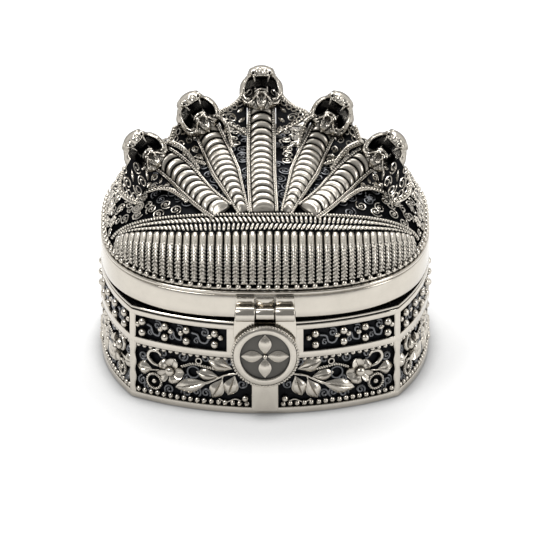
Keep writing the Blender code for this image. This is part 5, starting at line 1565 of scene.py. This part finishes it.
def head_place(cobra, sign):
    """Matrix of a head in metres: X across, Y the way it gapes, Z up."""
    turn = math.radians(cobra["turn"]) * sign
    roll = math.radians(cobra["roll"]) * sign
    x, y, z = cobra["head"]
    level = math.cos(GAZE_ELEVATION)
    gape = Vector((math.sin(turn) * level, -math.cos(turn) * level, math.sin(GAZE_ELEVATION)))
    side = gape.cross(Vector((0.0, 0.0, 1.0))).normalized()
    up = side.cross(gape).normalized()
    place = Matrix((side, gape, up)).transposed().to_4x4() @ Matrix.Rotation(-roll, 4, "Y")
    place.translation = Vector((x * sign, y, z)) * MM
    return place


def make_cobras():
    necks = {name: Neck(cobra, sign) for name, (cobra, sign) in COBRAS.items()}
    form = head_form()
    for name, (cobra, sign) in COBRAS.items():
        make_neck(name, necks[name])
        labels = ("right", "left") if name == "centre" else ("outer", "inner")
        for label, way, cup, outline in zip(labels, (1, -1), cobra["cups"], cobra["wings"]):
            node = name + "_hood_" + label
            make_wing(node, Wing(necks[name], way * sign, cup, outline), node)
        head = form.piece(name + "_cobra_face", FACE, "lid", [name + "_cobra_head"], sharp=80)
        head.data.transform(head_place(cobra, sign))
    return necks


# Latch and hinge


def turned(form, profile, centre, steps, axis=(0.0, 1.0, 0.0), across=(1.0, 0.0, 0.0)):
    """A shape turned round an axis: profile points are (way along the axis, radius)."""
    centre, axis, across = (np.asarray(v, float) for v in (centre, axis, across))
    turn = np.arange(steps) / steps * 2 * math.pi
    ring = np.cos(turn)[:, None] * across + np.sin(turn)[:, None] * np.cross(axis, across)
    form.skin([centre + axis * along + ring * radius for along, radius in profile])


def barrel(form, low, high, y, z, radius, soft=0.22):
    bevel = 0.3 * soft
    profile = (
        (low, radius - soft), (low + bevel, radius - bevel), (low + soft, radius),
        (high - soft, radius), (high - bevel, radius - bevel), (high, radius - soft),
    )
    turned(form, profile, (0.0, y, z), 40, (1.0, 0.0, 0.0), (0.0, 1.0, 0.0))


def plate(form, outline, back, front, soft=0.2):
    """A flat plate in XZ between two y, with softened front edges."""
    outline = np.asarray(outline, float)
    ways = np.roll(outline, -1, axis=0) - np.roll(outline, 1, axis=0)
    inward = unit(np.stack([-ways[:, 1], ways[:, 0]], axis=1))
    centre = outline.mean(axis=0)
    if np.sum(inward * (centre - outline)) < 0:
        inward = -inward
    bevel = 0.3 * soft
    section = ((soft, back), (0.0, back - soft), (0.0, front + soft), (bevel, front + bevel), (soft, front))
    rows = []
    for inset, y in section:
        flat = outline + inward * inset
        rows.append(np.stack([flat[:, 0], np.full(len(flat), y), flat[:, 1]], axis=1))
    form.skin(rows)


def rounded(points, soft, steps=4):
    """A polygon with its corners rounded."""
    made = []
    count = len(points)
    for i, here in enumerate(points):
        before, after = Vector(points[i - 1]), Vector(points[(i + 1) % count])
        here = Vector(here)
        a = here + (before - here).normalized() * min(soft, (before - here).length * 0.45)
        b = here + (after - here).normalized() * min(soft, (after - here).length * 0.45)
        for k in range(steps + 1):
            t = k / steps
            made.append(tuple(a * (1 - t) ** 2 + here * 2 * t * (1 - t) + b * t**2))
    return made


def rectangle(low, high, foot, top):
    return [(low, foot), (high, foot), (high, top), (low, top)]


def medallion_circle(radius, y, steps=96):
    turns = np.linspace(0.0, 2 * math.pi, steps, endpoint=False)
    return [(radius * math.cos(turn), y, MEDALLION_Z + radius * math.sin(turn)) for turn in turns]


def make_hasp():
    """The plate with its knuckles, its skirts beside the lug, the lift tab and the medallion's seat."""
    back, front = LATCH_Y + LATCH_RADIUS - 0.7, PLATE_FRONT
    hasp = Form()
    for hand in (-1, 1):
        low, high = sorted((hand * KNUCKLE_START, hand * LATCH_HALF_WIDTH))
        barrel(hasp, low, high, LATCH_Y, LATCH_Z, LATCH_RADIUS)
        skirt = [
            (hand * KNUCKLE_START, LATCH_Z), (hand * LATCH_HALF_WIDTH, LATCH_Z),
            (hand * SKIRT_REACH, MEDALLION_Z + 7.6), (hand * SKIRT_REACH, MEDALLION_Z + 4.8),
            (hand * KNUCKLE_START, MEDALLION_Z + 5.0),
        ]
        plate(hasp, rounded(skirt[::hand], 0.5), back, front - 0.1)
    tab = rectangle(-TAB_HALF_WIDTH, TAB_HALF_WIDTH, TAB_FOOT, MEDALLION_Z)
    plate(hasp, rounded(tab, 1.1), back, front - 0.15, 0.25)
    turned(hasp, ((0.0, 8.0), (0.8, 8.0)), (0.0, front, MEDALLION_Z), 48)
    hasp.piece("hasp_body", POLISHED, "hasp", ["hasp_plate"], sharp=45)


def make_medallion():
    face = PLATE_FRONT - GAP - 1.3
    ring, ground, flower = Form(), Form(), Form()
    section = (
        (8.9, 1.3), (9.0, 0.7), (8.75, 0.35), (8.5, 0.2), (8.3, 0.0),
        (7.1, -0.02), (6.85, 0.12), (6.75, 0.72), (6.75, 1.3),
    )
    ring.skin([medallion_circle(radius, face + depth) for radius, depth in section], ring=True)
    rope = medallion_circle(8.92, face + 0.42)
    ring.cord(rope, np.tile((0.0, -1.0, 0.0), (len(rope), 1)), 0.42, ROPE_PITCH, closed=True)
    ring.piece("medallion_rim", CARVED, "hasp", ["medallion_ring"], sharp=50)
    turned(ground, ((0.0, 6.85), (0.5, 6.85)), (0.0, face + 0.62, MEDALLION_Z), 48)
    ground.piece("medallion_ground", TARNISHED, "hasp", sharp=50)

    def disc(a, b, lift):
        return (a, face + 0.62 - lift, MEDALLION_Z + b)

    shape = {"roundness": 1.0, "steps": 14, "vein": -0.12, "point": 1.0}
    for k in range(4):
        c, s = math.cos(k * math.pi / 2), math.sin(k * math.pi / 2)
        lay_leaf(flower, disc, (6.5 * c, 6.5 * s), (0.6 * c, 0.6 * s), 3.5, 0.7, 0.05, **shape)
    lay_ball(flower, disc, (0.0, 0.0), 0.45, 0.62, 3)
    flower.piece("medallion_petals", CARVED, "hasp", ["medallion_flower"])


def make_latch_mounts():
    """What carries the hasp: the lid's lug with its straps, the pin, and the stud behind the medallion."""
    lug, pin, stud = Form(), Form(), Form()
    band_face = -HALF_DEPTH + 0.05
    barrel(lug, -LUG_HALF_WIDTH, LUG_HALF_WIDTH, LATCH_Y, LATCH_Z, LUG_RADIUS)
    leaf = rectangle(-LUG_HALF_WIDTH, LUG_HALF_WIDTH, LATCH_Z - 0.2, BAND_TOP - 1.6)
    plate(lug, rounded(leaf, 0.3), band_face, LATCH_Y + 1.9)
    for hand in (-1, 1):
        low, high = sorted((hand * (KNUCKLE_START + 0.1), hand * (LATCH_HALF_WIDTH - 0.1)))
        strap = rectangle(low, high, LATCH_Z + 1.9, BAND_TOP - 1.2)
        plate(lug, rounded(strap, 0.25), band_face, band_face - 1.2)
    lug.piece("latch_leaf", POLISHED, "lid", ["latch_lug"], sharp=45)
    barrel(pin, -LATCH_HALF_WIDTH - GAP, LATCH_HALF_WIDTH + GAP, LATCH_Y, LATCH_Z, PIN_RADIUS, 0.15)
    pin.piece("latch_axle", SATIN, "lid", ["latch_pin"], sharp=45)
    low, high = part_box("keeper_stud")
    profile = ((0.0, 1.0), (0.15, 1.45), (0.4, 1.6), ((high.y - low.y) / MM, 1.6))
    turned(stud, profile, (0.0, low.y / MM, (low.z + high.z) / 2 / MM), 32)
    stud.piece("snap_stud", POLISHED, "box", ["keeper_stud"], sharp=45)


def back_edge(owner, x):
    """y of the wall's or the band's back face over x."""
    if owner == "body":
        wall = WALLS["back"]
        return wall.centre[1] + math.sqrt(wall.radius**2 - x**2)
    return HALF_DEPTH * (1 - abs(x / HALF_WIDTH) ** LID_ROUNDNESS) ** (1 / LID_ROUNDNESS)


def make_hinge():
    leaves = (
        ("body", "box", -1, FLANGE_TOP - GAP - 8.0, FLANGE_TOP - GAP),
        ("lid", "lid", 1, BAND_LOW + GAP, BAND_LOW + GAP + 5.0),
    )
    pitch = 2 * HINGE_HALF_WIDTH / HINGE_KNUCKLES
    for first, (owner, body, way, low, high) in enumerate(leaves):
        form = Form()
        rows = []
        for i in range(25):
            x = HINGE_HALF_WIDTH * (2 * i / 24 - 1)
            near = back_edge(owner, x) + GAP
            far = near + LEAF_THICKNESS
            soft = 0.2 if 0 < i < 24 else 0.35
            rows.append([
                (x, near, low), (x, near, high), (x, far - soft, high), (x, far, high - soft),
                (x, far, low + soft), (x, far - soft, low),
            ])
        form.skin(rows)
        for i in range(first, HINGE_KNUCKLES, 2):
            start = -HINGE_HALF_WIDTH + pitch * i + GAP / 2
            end = start + pitch - GAP
            barrel(form, start, end, HINGE_Y, HINGE_Z, KNUCKLE_RADIUS)
            foot, top = sorted((HINGE_Z + way * 0.6, HINGE_Z + way * 2.9))
            foot, top = max(foot, low + GAP), min(top, high - GAP)
            near = back_edge(owner, (start + end) / 2) + GAP + 0.3
            web = ((near, foot), (HINGE_Y, foot), (HINGE_Y, top), (near, top))
            form.skin([[(x, y, z) for y, z in web] for x in (start + 0.1, end - 0.1)])
        form.piece(owner + "_hinge_plate", POLISHED, body, [owner + "_hinge_leaf"], sharp=45)
    pin = Form()
    barrel(pin, -HINGE_HALF_WIDTH - GAP, HINGE_HALF_WIDTH + GAP, HINGE_Y, HINGE_Z, PIN_RADIUS, 0.15)
    pin.piece("hinge_axle", SATIN, "box", ["hinge_pin"], sharp=45)


def dress_nodes():
    """Material for the solids that stay in view."""
    for name in ("floor_plate", "wall_liner"):
        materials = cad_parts[name].data.materials
        materials.clear()
        materials.append(SATIN)


# Stage, lights and camera


def make_floor():
    """A white floor with the box's soft shadow, partly cast by the lamps and partly painted by AO into its
    colour and glow.
    """
    work = bmesh.new()
    bmesh.ops.create_grid(work, x_segments=8, y_segments=8, size=3.0)
    mesh = bpy.data.meshes.new("studio_floor")
    work.to_mesh(mesh)
    work.free()
    made = bpy.data.materials.new("studio_white")
    made.use_nodes = True
    tree = made.node_tree
    shader = tree.nodes["Principled BSDF"]
    shader.inputs["Roughness"].default_value = 0.6
    shader.inputs["Specular IOR Level"].default_value = 0.1
    shader.inputs["Emission Color"].default_value = (1.0, 1.0, 1.0, 1.0)
    rays = add_node(tree, "ShaderNodeLightPath").outputs
    seen = maths(tree, "MAXIMUM", rays["Is Camera Ray"], rays["Is Glossy Ray"])
    seen = maths(tree, "MAXIMUM", seen, rays["Is Transmission Ray"])
    # Painted shadow: a short AO round the box and a long one leaning to the back, which throws shade to the
    # front, darken the floor's colour and glow.
    painted_shadow_tilt = add_node(tree, "ShaderNodeCombineXYZ", {"X": 0.0, "Y": 0.85, "Z": 0.53}).outputs[0]
    painted_contact_shadow = map_range(tree, nearness(tree, 6.0, 8), 0.4, 0.93, 0.35, 1.0)
    painted_front_shadow = map_range(tree, nearness(tree, 50.0, 8, {"Normal": painted_shadow_tilt}), 0.35, 1.0, 0.68, 1.0)
    painted_shadow_share = maths(tree, "MULTIPLY", painted_contact_shadow, painted_front_shadow)
    glow_with_painted_shadow = maths(tree, "MULTIPLY", seen, maths(tree, "MULTIPLY", painted_shadow_share, 0.58))
    link(tree, mix_colour(tree, painted_shadow_share, (0.08, 0.08, 0.08), (0.5, 0.5, 0.5)), shader.inputs["Base Color"])
    link(tree, glow_with_painted_shadow, shader.inputs["Emission Strength"])
    mesh.materials.append(made)
    floor = bpy.data.objects.new("studio_floor", mesh)
    bpy.context.scene.collection.objects.link(floor)
    floor.location = (0.0, 0.0, -0.0002)
    floor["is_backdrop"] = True


def background(tree, strength):
    wanted = {"Color": (1.0, 1.0, 1.0, 1.0), "Strength": strength}
    return add_node(tree, "ShaderNodeBackground", wanted).outputs[0]


def mix_shader(tree, factor, first, second):
    return add_node(tree, "ShaderNodeMixShader", {0: factor, 1: first, 2: second}).outputs[0]


def make_world():
    """White behind the box; what the silver mirrors is a white room with dimmer walls in front."""
    world = bpy.data.worlds.new("studio")
    bpy.context.scene.world = world
    world.use_nodes = True
    tree = world.node_tree
    tree.nodes.clear()
    rays = add_node(tree, "ShaderNodeLightPath").outputs
    way = add_node(tree, "ShaderNodeTexCoord").outputs["Generated"]
    parts = add_node(tree, "ShaderNodeSeparateXYZ", {0: way}).outputs
    behind = map_range(tree, parts["Y"], -0.35, 0.45, 0.3, 1.0)
    backdrop, mirror, fill = (background(tree, strength) for strength in (1.0, behind, 0.45))
    mirrored = mix_shader(tree, rays["Is Glossy Ray"], fill, mirror)
    seen = maths(tree, "MAXIMUM", rays["Is Camera Ray"], rays["Is Transmission Ray"])
    final = mix_shader(tree, seen, mirrored, backdrop)
    add_node(tree, "ShaderNodeOutputWorld", {"Surface": final})


LIT_PLACE = Vector((0.0, 0.0, 0.03))


def add_light(name, place, size, power):
    data = bpy.data.lights.new(name, "AREA")
    data.shape = "RECTANGLE"
    data.size, data.size_y = size
    data.energy = power
    lamp = bpy.data.objects.new(name, data)
    bpy.context.scene.collection.objects.link(lamp)
    lamp.location = place
    way = LIT_PLACE - Vector(place)
    lamp.rotation_euler = way.to_track_quat("-Z", "Y").to_euler()


VIEW_TARGET = Vector((0.0004, 0.0091, 0.0187))
VIEW_DISTANCE = 3.0
VIEW_ELEVATION = math.radians(26)
LENS_PER_METRE = 236.2 / 0.962


def make_camera():
    data = bpy.data.cameras.new("camera")
    data.sensor_width = 36.0
    data.lens = LENS_PER_METRE * VIEW_DISTANCE
    data.clip_end = 20.0
    camera = bpy.data.objects.new("camera", data)
    bpy.context.scene.collection.objects.link(camera)
    away = Vector((0.0, -math.cos(VIEW_ELEVATION), math.sin(VIEW_ELEVATION)))
    camera.location = VIEW_TARGET + away * VIEW_DISTANCE
    camera.rotation_euler = (-away).to_track_quat("-Z", "Y").to_euler()
    bpy.context.scene.camera = camera


make_camera()
make_floor()
make_world()
add_light("key_light", (-0.35, -0.3, 0.6), (0.35, 0.25), 3.0)
add_light("side_light", (0.6, -0.2, 0.3), (0.25, 0.4), 1.6)
add_light("top_light", (0.0, 0.32, 0.62), (0.5, 0.4), 3.2)
bpy.context.scene.view_settings.view_transform = "Standard"

make_frame()
for wall_side in SIDES:
    make_vine(wall_side)
    make_beads(wall_side)
make_band()
make_dome()
make_bolster()
make_braid()
make_filigree(make_cobras())
make_ropes()
make_hasp()
make_medallion()
make_latch_mounts()
make_hinge()
dress_nodes()

bpy.context.view_layer.update()
sizes = {"cad": cad_bounds, "visual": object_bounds()}
{key: [[round(v, 6) for v in corner] for corner in value] for key, value in sizes.items()}
